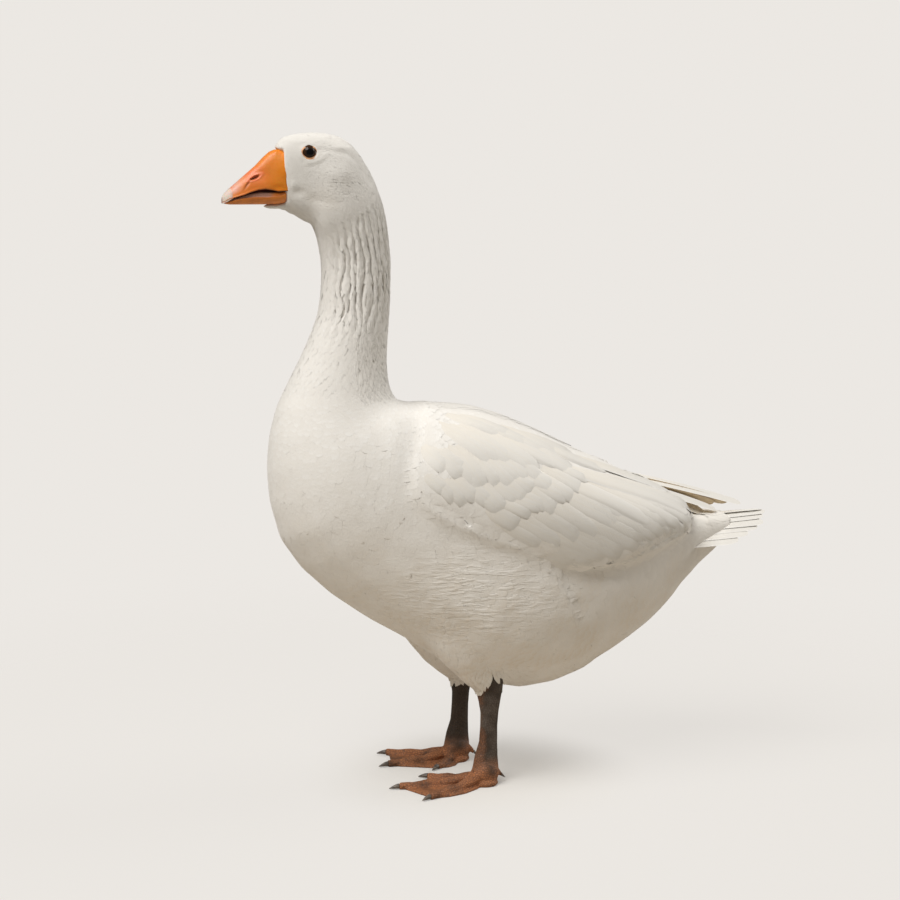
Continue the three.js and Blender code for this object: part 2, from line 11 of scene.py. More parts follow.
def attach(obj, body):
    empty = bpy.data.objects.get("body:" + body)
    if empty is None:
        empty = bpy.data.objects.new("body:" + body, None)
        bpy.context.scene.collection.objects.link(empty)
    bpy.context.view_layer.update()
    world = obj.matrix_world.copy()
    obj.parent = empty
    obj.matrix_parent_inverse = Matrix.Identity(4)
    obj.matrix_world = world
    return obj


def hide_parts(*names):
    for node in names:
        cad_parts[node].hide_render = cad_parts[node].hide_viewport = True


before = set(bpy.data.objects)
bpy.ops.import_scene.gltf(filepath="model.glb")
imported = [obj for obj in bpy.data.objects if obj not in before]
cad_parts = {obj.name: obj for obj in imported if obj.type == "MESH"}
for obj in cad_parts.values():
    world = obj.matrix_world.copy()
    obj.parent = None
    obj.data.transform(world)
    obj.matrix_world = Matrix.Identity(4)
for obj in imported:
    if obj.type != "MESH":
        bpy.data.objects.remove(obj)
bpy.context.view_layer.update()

# A white farm goose, standing: one skin over the flesh, vanes of plumage laid on it, long feathers on
# the wings and tail, then bill, eyes and claws. Lengths in the dictionaries are millimetres.

mm = 0.001
sides = {"left": -1, "right": 1}


class Wire:  # an output socket; sums and products written on it add the nodes they need
    def __init__(self, tree, socket=None):
        self.tree = tree
        self.socket = socket

    def make(self, kind, settings=None, inputs=None, output=0):
        node = self.tree.nodes.new(kind)
        for name, value in (settings or {}).items():
            setattr(node, name, value)
        for name, value in (inputs or {}).items():
            if isinstance(value, Wire):
                self.tree.links.new(value.socket, node.inputs[name])
            else:
                node.inputs[name].default_value = value
        return Wire(self.tree, node.outputs[output] if node.outputs else None)

    def isWide(self):
        return self.socket.type in ("VECTOR", "RGBA")

    def combine(self, operation, first, second):
        if not any(isinstance(x, Wire) and x.isWide() for x in (first, second)):
            return self.make("ShaderNodeMath", {"operation": operation}, {0: first, 1: second})
        first, second = [(x,) * 3 if isinstance(x, (int, float)) else x for x in (first, second)]
        return self.make("ShaderNodeVectorMath", {"operation": operation}, {0: first, 1: second})

    def __add__(self, other):
        return self.combine("ADD", self, other)

    def __radd__(self, other):
        return self.combine("ADD", other, self)

    def __sub__(self, other):
        return self.combine("SUBTRACT", self, other)

    def __rsub__(self, other):
        return self.combine("SUBTRACT", other, self)

    def __mul__(self, other):
        return self.combine("MULTIPLY", self, other)

    def __rmul__(self, other):
        return self.combine("MULTIPLY", other, self)

    def size(self):
        return self.make("ShaderNodeMath", {"operation": "ABSOLUTE"}, {0: self})

    def span(self, low, high):  # 0 at low, 1 at high, smooth between
        settings = {"interpolation_type": "SMOOTHSTEP"}
        inputs = {"Value": self, "From Min": low, "From Max": high}
        return self.make("ShaderNodeMapRange", settings, inputs)

    def between(self, low, high):  # the same for lengths in millimetres
        return self.span(low * mm, high * mm)

    def part(self, axis):  # 0, 1 or 2
        return self.make("ShaderNodeSeparateXYZ", None, {0: self}, axis)

    def blend(self, first, second):  # two colours mixed by this value
        return self.make("ShaderNodeMix", {"data_type": "RGBA"}, {0: self, 6: first, 7: second}, 2)

    def away(self, point):  # distance in metres from a point in millimetres
        there = [x * mm for x in point]
        settings = {"operation": "DISTANCE"}
        return self.make("ShaderNodeVectorMath", settings, {0: self, 1: there}, "Value")

    def outside(self, squeeze, point, reach):  # 0 in a patch round a squeezed point, 1 beyond it
        return (self * squeeze).away(point).between(*reach)

    def noise(self, scale, detail=2.0, roughness=0.5):
        inputs = {"Vector": self, "Scale": scale, "Detail": detail, "Roughness": roughness}
        return self.make("ShaderNodeTexNoise", None, inputs)

    def cells(self, scale, feature="F1"):
        settings = {"feature": feature}
        return self.make("ShaderNodeTexVoronoi", settings, {"Vector": self, "Scale": scale})

    def bump(self, distance, strength=1.0):  # distance in millimetres
        inputs = {"Height": self, "Distance": distance * mm, "Strength": strength}
        return self.make("ShaderNodeBump", None, inputs)


def colour(r, g, b):
    return (r, g, b, 1.0)


def newMaterial(name, build, **fixed):  # build(place, marks) gives what varies over the surface
    material = bpy.data.materials.new(name)
    material.use_nodes = True
    tree = material.node_tree
    shader = tree.nodes["Principled BSDF"]
    for socket, value in fixed.items():
        shader.inputs[socket.replace("_", " ")].default_value = value
    start = Wire(tree)
    place = start.make("ShaderNodeTexCoord", output="Object")
    marks = start.make("ShaderNodeAttribute", {"attribute_name": "vane"}, output="Vector")
    for socket, wire in build(place, marks).items():
        tree.links.new(wire.socket, shader.inputs[socket])
    return material


def surface(tint, roughness, relief=None):
    varied = {"Base Color": tint, "Roughness": roughness}
    if relief is not None:
        varied["Normal"] = relief
    return varied


def barbStreaks(vane, along, slant, apart=60):  # fine lines that leave the shaft at a slant
    across = vane.part(0).size()
    inputs = {0: vane.part(1) * along - across * slant, 1: vane.part(2) * apart}
    return vane.make("ShaderNodeCombineXYZ", None, inputs)


# Plumage: warm white; painted shade where vanes are covered, in the furrows and behind the gape; tan soil
# and painted shade low on the belly.
plumageLook = {
    "white": colour(0.925, 0.91, 0.88),
    "shade": colour(0.83, 0.80, 0.75),
    # tan: soil on the belly together with painted shade there, and painted shade in the furrows and behind
    # the gape
    "soilAndShade": colour(0.74, 0.655, 0.54),
    "soilAndShadeClear": (90, 390),  # heights between which the belly's tan soil and painted shade clear
    "mottle": 30,  # clouds of tint to the metre
    "coverShade": 0.6,  # how much painted shade a vane takes where the next one covers it
    "valley": 0.33,  # how much painted shade lies in the furrows of the neck
    "cheek": ((0.6, 0, 1), (-124, 0, 620), (4, 21)),  # painted shade in the hollow behind the gape: squeeze, middle, reach
    "flank": ((0.62, 0.3, 1), (-36, 0, 214), (34, 78)),  # rippled patch
    "ripple": 2.4,  # strength of the fine ripples on it
    "barbs": (26, 8),  # how close they stand along a vane, and their slant
}


def plumageNodes(place, vane):
    look = plumageLook
    mottle = place.noise(look["mottle"], 3)
    # random grey tone per vane; on the skin, whose marks carry its furrows, painted shade in them
    tint = (vane.part(2).size() * 0.35 + mottle * 0.35).blend(look["white"], look["shade"])
    # tan low on the body: real soil, deepened by painted shade on the underside
    soiledAndShaded = 1 - place.part(2).between(*look["soilAndShadeClear"])
    tint = (soiledAndShaded * (mottle.span(0.3, 0.75) * 0.5 + 0.3)).blend(tint, look["soilAndShade"])
    # painted shade in the hollow behind the gape
    cheek = 1 - place.outside(*look["cheek"])
    tint = (cheek * mottle.span(0.25, 0.6) * 0.4).blend(tint, look["soilAndShade"])
    # painted shade: each vane darker towards its root, where the next one lies over it
    coverShade = 1 - vane.part(1).span(0.66, 0.94)
    tint = (coverShade * look["coverShade"]).blend(tint, look["shade"])
    valley = (vane.part(2) * -1).span(0.25, 0.9)  # the skin marks its furrows so; painted shade in them
    tint = (valley * look["valley"]).blend(tint, look["soilAndShade"])
    streak = barbStreaks(vane, *look["barbs"]).noise(1.0, 1.0) + place.noise(380, 3) * 1.2
    flank = 1 - place.outside(*look["flank"])
    ripple = (place * (1, 1, 4.6)).noise(58, 2).span(0.44, 0.62) * flank
    streak = streak + ripple * look["ripple"]
    return surface(tint, mottle * 0.2 + 0.62, streak.bump(0.4, 0.5))


# Long feathers: satin white darkened by painted shade, a cream shaft, and painted tan shade where a loose
# feather doesn't face up.
quillLook = {
    # a darker copy of the plumage's white, as painted shade on the folded wing
    "white": colour(0.775, 0.755, 0.715),
    "edge": colour(0.85, 0.835, 0.81),
    "shaft": colour(0.80, 0.74, 0.62),
    "inner": colour(0.84, 0.80, 0.73),
    "shadeTan": colour(0.86, 0.70, 0.47),
    "shaded": 0.9,  # how much painted tan shade the loose primaries take where they don't face up
    "barbs": (90, 12),
}


def quillNodes(place, vane, shaded=0.0):
    look = quillLook
    across, along = vane.part(0).size(), vane.part(1)
    tint = along.span(0.1, 0.8).blend(look["inner"], look["white"])
    tint = across.span(0.75, 1.0).blend(tint, look["edge"])
    shaft = 1 - across.span(0.03, 0.1)
    tint = (shaft * 0.16).blend(tint, look["shaft"])
    streak = barbStreaks(vane, *look["barbs"]).noise(1.0, 1.0)
    tint = (streak * 0.15).blend(tint, look["inner"])
    if shaded:
        # painted shade: tan where the feather faces down, away from the light
        facing = place.make("ShaderNodeNewGeometry", output="Normal").part(2)
        tint = ((1 - facing.span(0.45, 0.85)) * shaded).blend(tint, look["shadeTan"])
    return surface(tint, streak * 0.2 + 0.45, streak.bump(0.35, 0.5))


def shadedQuillNodes(place, vane):
    return quillNodes(place, vane, quillLook["shaded"])


# Bare legs: grey-brown scales, orange at the hock, down the shank and on the webs; the right leg darker
# with painted shade.
legLook = {
    "brown": colour(0.038, 0.025, 0.014),
    "grey": colour(0.125, 0.10, 0.08),
    "web": colour(0.40, 0.155, 0.06),
    "orange": colour(0.42, 0.16, 0.065),
    "crack": colour(0.045, 0.025, 0.018),
    "scales": 420.0,  # scales to the metre
    "webEnds": (12, 34),  # heights between which the orange of the webs ends
    "hock": ((1, 1, 1), (-44, -50, 112), (4, 17)),  # orange patch: squeeze, middle, reach
    "frontEnds": (-34, -27),  # x between which the orange down the shank ends
    "shadedLegEnds": (-20, 10),  # y between which the right leg's painted shade, a darker brown, takes over
}


def legNodes(place, vane):
    look = legLook
    edge = place.cells(look["scales"], "DISTANCE_TO_EDGE")
    patch = place.noise(45, 3)
    tint = patch.span(0.35, 0.65).blend(look["brown"], look["grey"])
    low = 1 - place.part(2).between(*look["webEnds"])
    tint = (low * patch.span(0.2, 0.6)).blend(tint, look["web"])
    hock = 1 - place.outside(*look["hock"])
    front = 1 - (place.part(0) + patch * 0.02).between(*look["frontEnds"])
    left = 1 - place.part(1).between(*look["shadedLegEnds"])
    tint = ((hock * 0.9 + front * 0.35) * left).blend(tint, look["orange"])
    # painted shade: the right leg, away from the light, darker brown above the webs
    tint = ((1 - left) * (1 - low) * 0.8).blend(tint, look["brown"])
    tint = ((1 - edge.span(0.0, 0.16)) * 0.7).blend(tint, look["crack"])
    wrinkle = place.noise(160, 4, 0.6)
    return surface(tint, patch * 0.25 + 0.45, (edge.span(0, 0.3) + wrinkle * 0.8).bump(0.45, 0.8))


# Bill: orange, redder over the nostril, yellower by the face, pink behind the pale nail.
billLook = {
    "orange": colour(0.85, 0.23, 0.03),
    "yellow": colour(0.85, 0.25, 0.006),
    "red": colour(0.86, 0.215, 0.075),
    "pink": colour(0.82, 0.40, 0.29),
    "pale": colour(0.88, 0.33, 0.06),
    "dark": colour(0.09, 0.02, 0.012),
    "yellowFrom": (-266, -240),
    "pores": 900,  # pores to the metre
}


def billNodes(place, marks):
    look = billLook
    cloud = place.noise(95, 3, 0.55)
    rear = place.part(0).between(*look["yellowFrom"])
    tint = rear.blend(look["orange"], look["yellow"])
    tint = marks.part(1).blend(tint, look["red"])
    tint = marks.part(0).blend(tint, look["pink"])
    tint = (cloud.span(0.35, 0.75) * 0.22).blend(tint, look["pale"])
    # painted shade in the nostril, in the groove and along the lip by the gape
    tint = (marks.part(2) * 0.92).blend(tint, look["dark"])
    relief = cloud * 1.4 + place.cells(look["pores"]) * 0.25 + place.noise(420, 3) * 0.5
    return surface(tint, cloud * 0.25 + 0.28, relief.bump(0.35, 0.6))


# The pale nail at the tip, pinkish where it grows from the bill.
nailLook = {
    "horn": colour(0.80, 0.68, 0.60),
    "root": colour(0.80, 0.46, 0.37),
    "edge": colour(0.62, 0.42, 0.33),
}


def nailNodes(place, marks):
    look = nailLook
    grain = place.noise(260, 3)
    tint = marks.part(0).blend(look["horn"], look["root"])
    tint = (marks.part(1) * 0.6).blend(tint, look["edge"])
    tint = (grain * 0.3).blend(tint, look["edge"])
    return surface(tint, grain * 0.2 + 0.3, grain.bump(0.25, 0.6))


# Lower bill: browner orange, with a pale comb of ridges inside its edge, painted shade between them and
# along the gape.
lowerBillLook = {
    "orange": colour(0.80, 0.25, 0.035),
    "brown": colour(0.55, 0.16, 0.035),
    "comb": colour(0.62, 0.34, 0.25),
    "gap": colour(0.20, 0.075, 0.05),
    "combWave": 5460,  # turns of the comb's ridges, in radians to the metre
}


def lowerBillNodes(place, marks):
    look = lowerBillLook
    cloud = place.noise(120, 3)
    tint = (cloud.span(0.35, 0.7) * 0.6).blend(look["orange"], look["brown"])
    # painted shade along the gape, a browner line at the top of the side wall
    tint = (marks.part(1) * 0.7).blend(tint, look["brown"])
    wave = place.make("ShaderNodeMath", {"operation": "SINE"}, {0: place.part(0) * look["combWave"]})
    # painted shade between the comb's ridges
    comb = (wave.span(-1, 1) * 0.45).blend(look["comb"], look["gap"])
    tint = marks.part(0).blend(tint, comb)
    return surface(tint, cloud * 0.2 + 0.32, (cloud + place.noise(500) * 0.4).bump(0.3, 0.6))


# Mouth: near black, painted shade for the shaded inside between the bill's halves.
mouthLook = {"deep": colour(0.055, 0.022, 0.018), "shadedLining": colour(0.13, 0.05, 0.042)}


def mouthNodes(place, marks):
    cloud = place.noise(200, 2)
    return surface(cloud.blend(mouthLook["deep"], mouthLook["shadedLining"]), cloud * 0.2 + 0.3)


# Eye: marks carry the angle from the middle of the pupil and the angle round it.
eyeLook = {
    "pupil": colour(0.004, 0.004, 0.005),
    "iris": colour(0.030, 0.016, 0.010),
    "rim": colour(0.085, 0.035, 0.014),
    "pupilEnds": (0.42, 0.5),
    "rimStarts": (0.62, 0.86),
}


def eyeNodes(place, marks):
    look = eyeLook
    rays = marks.make("ShaderNodeCombineXYZ", None, {0: marks.part(1) * 14, 1: marks.part(0) * 3})
    rays = rays.noise(2.0, 3)
    tint = marks.part(0).span(*look["pupilEnds"]).blend(look["pupil"], look["iris"])
    tint = (marks.part(0).span(*look["rimStarts"]) * rays.span(0.2, 0.8)).blend(tint, look["rim"])
    return surface(tint, rays * 0.05 + 0.06)


# Lid: marks carry the distance from the middle of the eye, in millimetres.
lidLook = {
    "skin": colour(0.86, 0.50, 0.26),
    "deep": colour(0.60, 0.26, 0.11),
    "innerDark": colour(0.16, 0.05, 0.02),
    "down": colour(0.88, 0.86, 0.83),
    "innerDarkEnds": (5.7, 6.3),
    "downStarts": (8.3, 8.7),
}


def lidNodes(place, marks):
    look = lidLook
    reach = marks.part(0)
    crumb = place.noise(900, 2)
    tint = crumb.span(0.35, 0.7).blend(look["skin"], look["deep"])
    # darker at the lid's inner edge, against the globe
    tint = (1 - reach.span(*look["innerDarkEnds"])).blend(tint, look["innerDark"])
    tint = (reach + crumb * 0.5).span(*look["downStarts"]).blend(tint, look["down"])
    return surface(tint, crumb * 0.2 + 0.4, crumb.bump(0.25, 0.7))


clawLook = {"horn": colour(0.075, 0.062, 0.055), "worn": colour(0.20, 0.165, 0.135)}


def clawNodes(place, marks):
    streak = (place * (1, 1, 3)).noise(240, 3)
    tint = streak.span(0.35, 0.75).blend(clawLook["horn"], clawLook["worn"])
    return surface(tint, streak * 0.25 + 0.3, streak.bump(0.2, 0.7))


print("materials")
plumageFinish = newMaterial("plumage", plumageNodes, Sheen_Weight=0.25, Sheen_Roughness=0.5,
                            Specular_IOR_Level=0.2)
quillFinish = newMaterial("quill", quillNodes, Specular_IOR_Level=0.3)
shadedQuillFinish = newMaterial("shadedQuill", shadedQuillNodes, Specular_IOR_Level=0.3)
legFinish = newMaterial("legSkin", legNodes, Specular_IOR_Level=0.4)
billFinish = newMaterial("billSkin", billNodes, Subsurface_Weight=0.15, Subsurface_Scale=0.002)
nailFinish = newMaterial("billNail", nailNodes, Subsurface_Weight=0.2, Subsurface_Scale=0.002)
lowerBillFinish = newMaterial("lowerBillSkin", lowerBillNodes)
shadedMouthFinish = newMaterial("shadedMouth", mouthNodes)
eyeFinish = newMaterial("eyeGlobe", eyeNodes, Specular_IOR_Level=0.06, Coat_Weight=0.25,
                        Coat_Roughness=0.015)
lidFinish = newMaterial("lidSkin", lidNodes)
clawFinish = newMaterial("clawHorn", clawNodes)


def latticeNoise(points, size, seed):  # smooth values from -1 to 1, with lumps about size across
    table = np.random.RandomState(seed).uniform(-1, 1, (32, 32, 32))
    q = np.asarray(points) / (size * mm) + 500
    cell = np.floor(q).astype(int)
    inside = q - cell
    inside = inside * inside * (3 - 2 * inside)
    total = np.zeros(len(q))
    for corner in np.ndindex(2, 2, 2):
        weight = np.prod(np.where(corner, inside, 1 - inside), axis=1)
        total += weight * table[tuple(((cell + corner) % 32).T)]
    return total


def ramp(x, low, high):
    t = np.clip((np.asarray(x, float) - low) / (high - low), 0, 1)
    return t * t * (3 - 2 * t)


def unit(v):
    return v / np.maximum(np.linalg.norm(v, axis=-1, keepdims=True), 1e-12)


def bell(x, middle, reach):
    return np.exp(-((x - middle) / reach) ** 2)


def lump(points, middle, reach):  # 1 at the middle of a round spot, falling to nothing
    d = np.linalg.norm((points / mm - np.array(middle)) / reach, axis=1)
    return np.exp(-d * d * 2)


# How the plumage lies, as side-view guides: x, z, heading in degrees (0 to the tail, -90 down),
# length of a vane and depth of the coat.
guides = [
    (-244, 674, 42, 3.42, 0.29), (-205, 690, 6, 4.75, 0.5), (-172, 676, -38, 6.17, 0.67),
    (-146, 645, -66, 8.55, 0.92), (-234, 655, -10, 3.04, 0.29), (-214, 645, -12, 3.99, 0.38),
    (-190, 640, -28, 5.7, 0.59), (-170, 618, -55, 7.6, 0.84), (-238, 620, -8, 3.23, 0.29),
    (-240, 606, -12, 4.75, 0.42), (-208, 594, -35, 6.17, 0.63), (-134, 612, -80, 11, 1.09),
    (-165, 590, -78, 11, 1.09), (-196, 570, -76, 9, 0.92), (-128, 560, -90, 12, 1.4),
    (-163, 545, -90, 12, 1.4), (-199, 530, -93, 11, 1.2), (-127, 500, -90, 13, 1.4),
    (-165, 495, -92, 13, 1.4), (-206, 490, -98, 14, 1.4), (-130, 450, -84, 14, 1.5),
    (-175, 450, -96, 15, 1.5), (-224, 450, -106, 16, 1.5), (-122, 415, -55, 16, 1.7),
    (-190, 400, -95, 18, 1.75), (-250, 395, -104, 19, 1.8), (-100, 405, -12, 20, 1.8),
    (-150, 380, -52, 20, 1.9), (-200, 350, -76, 22, 2), (-257, 335, -92, 21, 2),
    (-245, 260, -70, 23, 2.1), (-215, 215, -52, 23, 2.2), (-180, 300, -56, 23, 2.1),
    (-150, 220, -42, 24, 2.3), (-130, 340, -35, 22, 2), (-186, 200, -46, 23, 2.2),
    (-120, 155, -34, 24, 2.4), (-100, 220, -36, 24, 2.4), (-60, 200, -30, 24, 2.4),
    (-60, 260, -26, 24, 2.3), (-10, 130, -22, 23, 2.4), (-10, 200, -28, 25, 2.4),
    (30, 200, -32, 25, 2.4), (20, 110, -5, 21, 2.3), (60, 100, 4, 21, 2.3), (100, 130, 16, 23, 2.3),
    (80, 180, -6, 25, 2.4), (120, 210, -5, 26, 2.3), (130, 150, 34, 23, 2.3), (170, 180, 38, 24, 2.1),
    (200, 220, 20, 28, 1.9), (150, 240, 0, 27, 1.9), (160, 290, -12, 30, 1.8), (215, 268, -5, 34, 1.5),
    (230, 250, 4, 30, 1.3), (-60, 385, -8, 24, 1.9), (-90, 345, -26, 23, 1.7), (-60, 310, -28, 27, 1.7),
    (-20, 330, -28, 30, 2.89), (-30, 370, -14, 28, 3.06), (30, 340, -24, 34, 3.06),
    (60, 300, -26, 34, 3.23), (100, 320, -24, 34, 3.23), (-45, 125, -80, 17, 1.6),
    (-30, 104, -90, 13, 0.8), (-30, 150, -58, 21, 2.1),
]


def coatFields(points):  # per point: heading in the side view, vane length and coat depth
    x, z = points[:, 0] / mm, points[:, 2] / mm
    total = np.zeros((len(points), 5))
    for gx, gz, heading, length, depth in guides:
        weight = 1 / ((x - gx) ** 2 + (z - gz) ** 2 + 60) ** 2
        angle = math.radians(heading)
        total += weight[:, None] * np.array([math.cos(angle), math.sin(angle), length, depth, 1.0])
    share = total / total[:, 4:]
    flow = unit(np.stack([share[:, 0], np.zeros(len(x)), share[:, 1]], 1))
    return flow, share[:, 2] * mm, share[:, 3] * mm


# The skin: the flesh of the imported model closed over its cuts, smoothed, sunk by the coat's depth, with
# the folds of head and neck pressed in.
skinPlan = {
    "voxel": 1.2,
    "swell": 0.3,  # closes the cuts between neighbours
    "rounds": 90,  # smoothing passes
    "shoulder": 220,  # further passes where the wing leaves the breast
    "ridge": {"span": (-98, 62), "half": 11, "beside": 13, "below": 0.8, "deep": 30},  # between the wings
    "legSkin": {"at": (-35, 49), "reach": 23, "below": 121, "before": -17, "feet": 92},  # bare faces
    "headEase": 0.16, "neckEase": 0.5, "legEase": 0.02,  # share of the smoothing each takes
    "furrows": 26, "furrowDepth": 3.4, "furrowTop": 603, "furrowLow": 462,
    "eyeFloor": 17.5,  # how far out the skin lies under an eyeball
    "faces": 0.3,  # share of the faces kept at the end
}
eyePlace = (-214.3, 22.5, 667.3)  # middle of the eye's opening, on the head's side
eyeBare = (1.24, 0.98, 8.4)  # the bare oval round it: how it is stretched, and its radius
fleshNodes = ["head", "neck_upper", "neck_lower", "trunk"]
for side in sides:
    parts = ("wing", "flight_feathers", "thigh", "shank", "foot", "hind_toe")
    fleshNodes += [f"{part}_{side}" for part in parts]


def joined(nodes, swell):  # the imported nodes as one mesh, each grown a little
    gathered = bmesh.new()
    for node in nodes:
        part = bmesh.new()
        part.from_mesh(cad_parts[node].data)
        bmesh.ops.remove_doubles(part, verts=part.verts, dist=0.01 * mm)
        part.normal_update()
        for vert in part.verts:
            vert.co += vert.normal * swell * mm
        mesh = bpy.data.meshes.new("part")
        part.to_mesh(mesh)
        part.free()
        gathered.from_mesh(mesh)
        bpy.data.meshes.remove(mesh)
    mesh = bpy.data.meshes.new("joined")
    gathered.to_mesh(mesh)
    gathered.free()
    return mesh


def modified(mesh, kind, group=None, **settings):  # the mesh after one modifier
    piece = bpy.data.objects.new("working", mesh)
    bpy.context.scene.collection.objects.link(piece)
    if group is not None:
        weights = piece.vertex_groups.new(name="share")
        levels = np.round(np.clip(group, 0, 1) * 50).astype(int)
        for level in np.unique(levels):
            weights.add(np.nonzero(levels == level)[0].tolist(), level / 50, "REPLACE")
        settings["vertex_group"] = "share"
    modifier = piece.modifiers.new("step", kind)
    for name, value in settings.items():
        setattr(modifier, name, value)
    made = bpy.data.meshes.new_from_object(piece.evaluated_get(bpy.context.evaluated_depsgraph_get()))
    bpy.data.objects.remove(piece)
    return made


def valuesOf(parts, field, width=3, kind=np.float32):  # one field of a mesh's vertices, faces or corners
    found = np.empty(len(parts) * width, kind)
    parts.foreach_get(field, found)
    return found.reshape(-1, width)


def placesOf(mesh):
    return valuesOf(mesh.vertices, "co").astype(float)


def normalsOf(mesh):
    return valuesOf(mesh.vertex_normals, "vector").astype(float)


def moveTo(mesh, places):
    mesh.vertices.foreach_set("co", places.astype(np.float32).ravel())
    mesh.update()


def headShare(points):  # 1 on the head, 0 on neck and body
    x, z = points[:, 0] / mm, points[:, 2] / mm
    return ramp(z - 590 - 0.85 * (x + 190), -8, 8)


def furrows(points):  # ropes of plumage down the neck: 0 in the valleys, 1 on the crests
    x, y, z = (points / mm).T
    middle = np.interp(z, [405, 452, 502, 545, 581, 612], [-187, -177, -166, -163, -166, -176])
    turn = np.arctan2(y, x - middle)
    wander = latticeNoise(points * [1, 1, 0.6], 8, 3) * 1.5
    wander = wander + latticeNoise(points * [1, 1, 0.5], 22, 4) * 1.1
    crest = np.abs(np.sin(turn * skinPlan["furrows"] / 2 + wander))
    reach = ramp(z - 0.25 * (x + 160), skinPlan["furrowLow"], skinPlan["furrowLow"] + 60)
    reach *= 1 - ramp(z - 0.6 * (x + 165), skinPlan["furrowTop"] - 26, skinPlan["furrowTop"] + 12)
    back = ramp(np.cos(turn), -0.98, -0.5)
    return crest ** 0.7, reach * (0.2 + 0.8 * back)


folds = [  # soft hollows (+) and swellings (-) of head and throat: depth, middle, reach
    (-1.0, (-219, 20, 677.5), (13, 12, 3.4)),  # brow
    (-1.0, (-178, 22, 672), (18, 12, 4.5)),  # crown over the crease
    (-1.4, (-186, 27, 645), (20, 14, 13)),  # cheek
    (1.1, (-225, 18, 627), (9, 12, 6)),  # hollow behind the gape
    (0.5, (-206, 22, 619), (20, 12, 8)),
    (-0.8, (-231, 16, 634), (4, 10, 6)),
    (-2.6, (-233, 0, 607), (8, 9, 6)),  # chin
    (-2.2, (-221, 0, 604), (12, 12, 7)),
    (-3.4, (-212, 0, 601), (11, 16, 9)),  # corner of the throat
    (-2.0, (-240, 9, 615), (6, 6, 3.5)),
    (4.8, (-111, 78, 367), (18, 36, 44)),  # shoulder
    (-5.0, (-141, 60, 355), (18, 36, 50)),
    (5.0, (204, 0, 194), (17, 40, 13)),  # under the tail
    (-2.6, (165, 0, 149), (18, 40, 15)),
]
creases = [  # fine lines on the head: side-view line, depth and half width
    ([(-203, 670), (-190, 668.5), (-176, 665.5), (-165, 658.5), (-157, 648), (-151, 636)], 0.6, 2.6),
    ([(-217, 656), (-209, 656.8), (-203, 660), (-198, 665.5), (-194, 668)], -0.45, 2.4),
    ([(-213, 653.5), (-205, 654.5), (-199, 659)], 0.25, 2.2),
    ([(-228, 626), (-216, 621), (-200, 617), (-184, 616)], 0.3, 4.0),
]
edges = {  # where one mass of plumage lies over another: side-view line, lift above it, drop beyond it
    "flank": ([(-136, 338), (-125.5, 324), (-93, 300), (-54, 281), (-18, 268), (0, 255), (16, 242),
               (32, 223), (45, 197), (50, 183), (53, 172)], (2.5, 15), (-2.7, 11)),
    "wing": ([(19, 241), (40, 241), (75, 237), (94, 242), (120, 254), (150, 264), (178, 270), (190, 274)],
             (-4.8, 12), (0.8, 14)),
}


def nearestLeg(flat, line):  # of a side-view line: its index, how far along, the gap and the offset
    legs = np.diff(line, axis=0)
    offset = flat[:, None] - line[None, :-1]
    t = np.clip((offset * legs).sum(2) / (legs ** 2).sum(1), 0, 1)
    gap = np.linalg.norm(offset - t[..., None] * legs, axis=2)
    pick = gap.argmin(1)
    row = np.arange(len(flat))
    return pick, t[row, pick], gap[row, pick], offset[row, pick]


def lineGap(x, z, line):  # distance from a side-view line, positive on its right-hand side
    points = np.array(line, float)
    pick, _, gap, offset = nearestLeg(np.stack([x, z], 1), points)
    leg = np.diff(points, axis=0)[pick]
    turn = leg[:, 0] * offset[:, 1] - leg[:, 1] * offset[:, 0]
    return gap * np.where(turn < 0, 1, -1)


def steps(points):  # how far the masses of the body stand out, in millimetres
    x, y, z = (points / mm).T
    out = np.zeros(len(x))
    body = np.nonzero((z < 345) & (z > 170) & (x > -150) & (np.abs(y) > 30))[0]
    for line, right, left in edges.values():
        gap = lineGap(x[body], z[body], line)
        over = ramp(gap, -3.4, 3.4)
        edge = over * right[0] * np.exp(-np.abs(gap) / right[1])
        edge += (1 - over) * left[0] * np.exp(-np.abs(gap) / left[1])
        last = unit(np.subtract(line[-1], line[-2]).astype(float))
        beyond = (x[body] - line[-1][0]) * last[0] + (z[body] - line[-1][1]) * last[1]
        ends = ramp(x[body], line[0][0] - 4, line[0][0] + 42) * (1 - ramp(beyond, -24, 0))
        out[body] += edge * ends * ramp(np.abs(y[body]), 40, 70)
    ripple = latticeNoise(points / np.array([1, 1, 0.24]), 13, 5)
    ripple = ripple * ramp(z, 150, 190) * (1 - ramp(z, 270, 310))
    out += 0.42 * ripple * ramp(x, -130, -90) * (1 - ramp(x, 20, 60))
    out += 0.35 * latticeNoise(points, 22, 6) * (z < 425) * ramp(z, 100, 130)
    return out


def sculpt(points):  # how far each point of the skin sinks
    x, y, z = (points / mm).T
    sink = coatFields(points)[2] * ramp(z, 112, 124)  # the legs have no coat to sink by
    crest, share = furrows(points)
    sink += skinPlan["furrowDepth"] * mm * share * (1 - crest)
    aside = np.stack([points[:, 0], np.abs(points[:, 1]), points[:, 2]], 1)
    for deep, middle, reach in folds:
        sink += mm * deep * lump(aside, middle, reach)
    sink -= mm * steps(points)
    head = np.nonzero((z > 600) & (np.abs(y) > 9))[0]
    for line, deep, width in creases:
        sink[head] += mm * deep * bell(lineGap(x[head], z[head], line), 0, width)
    underBill = (1 - ramp(x, -242.5, -239.2)) * (z > 600)
    sink += mm * underBill * np.where(z > 619, 6.5 * (1 - ramp(z, 668, 672)), 1.4)
    return sink


def setEyesIn(places):  # press the skin down where an eyeball sits
    ex, _, ez = eyePlace
    gap = np.hypot(places[:, 0] / mm - ex, places[:, 2] / mm - ez)
    aside = np.abs(places[:, 1]) / mm
    floor = np.minimum(aside, skinPlan["eyeFloor"])
    share = (1 - ramp(gap, 5.6, 8.4)) * (places[:, 2] > 0.6)
    places[:, 1] = np.sign(places[:, 1]) * (aside + (floor - aside) * share) * mm
    return places


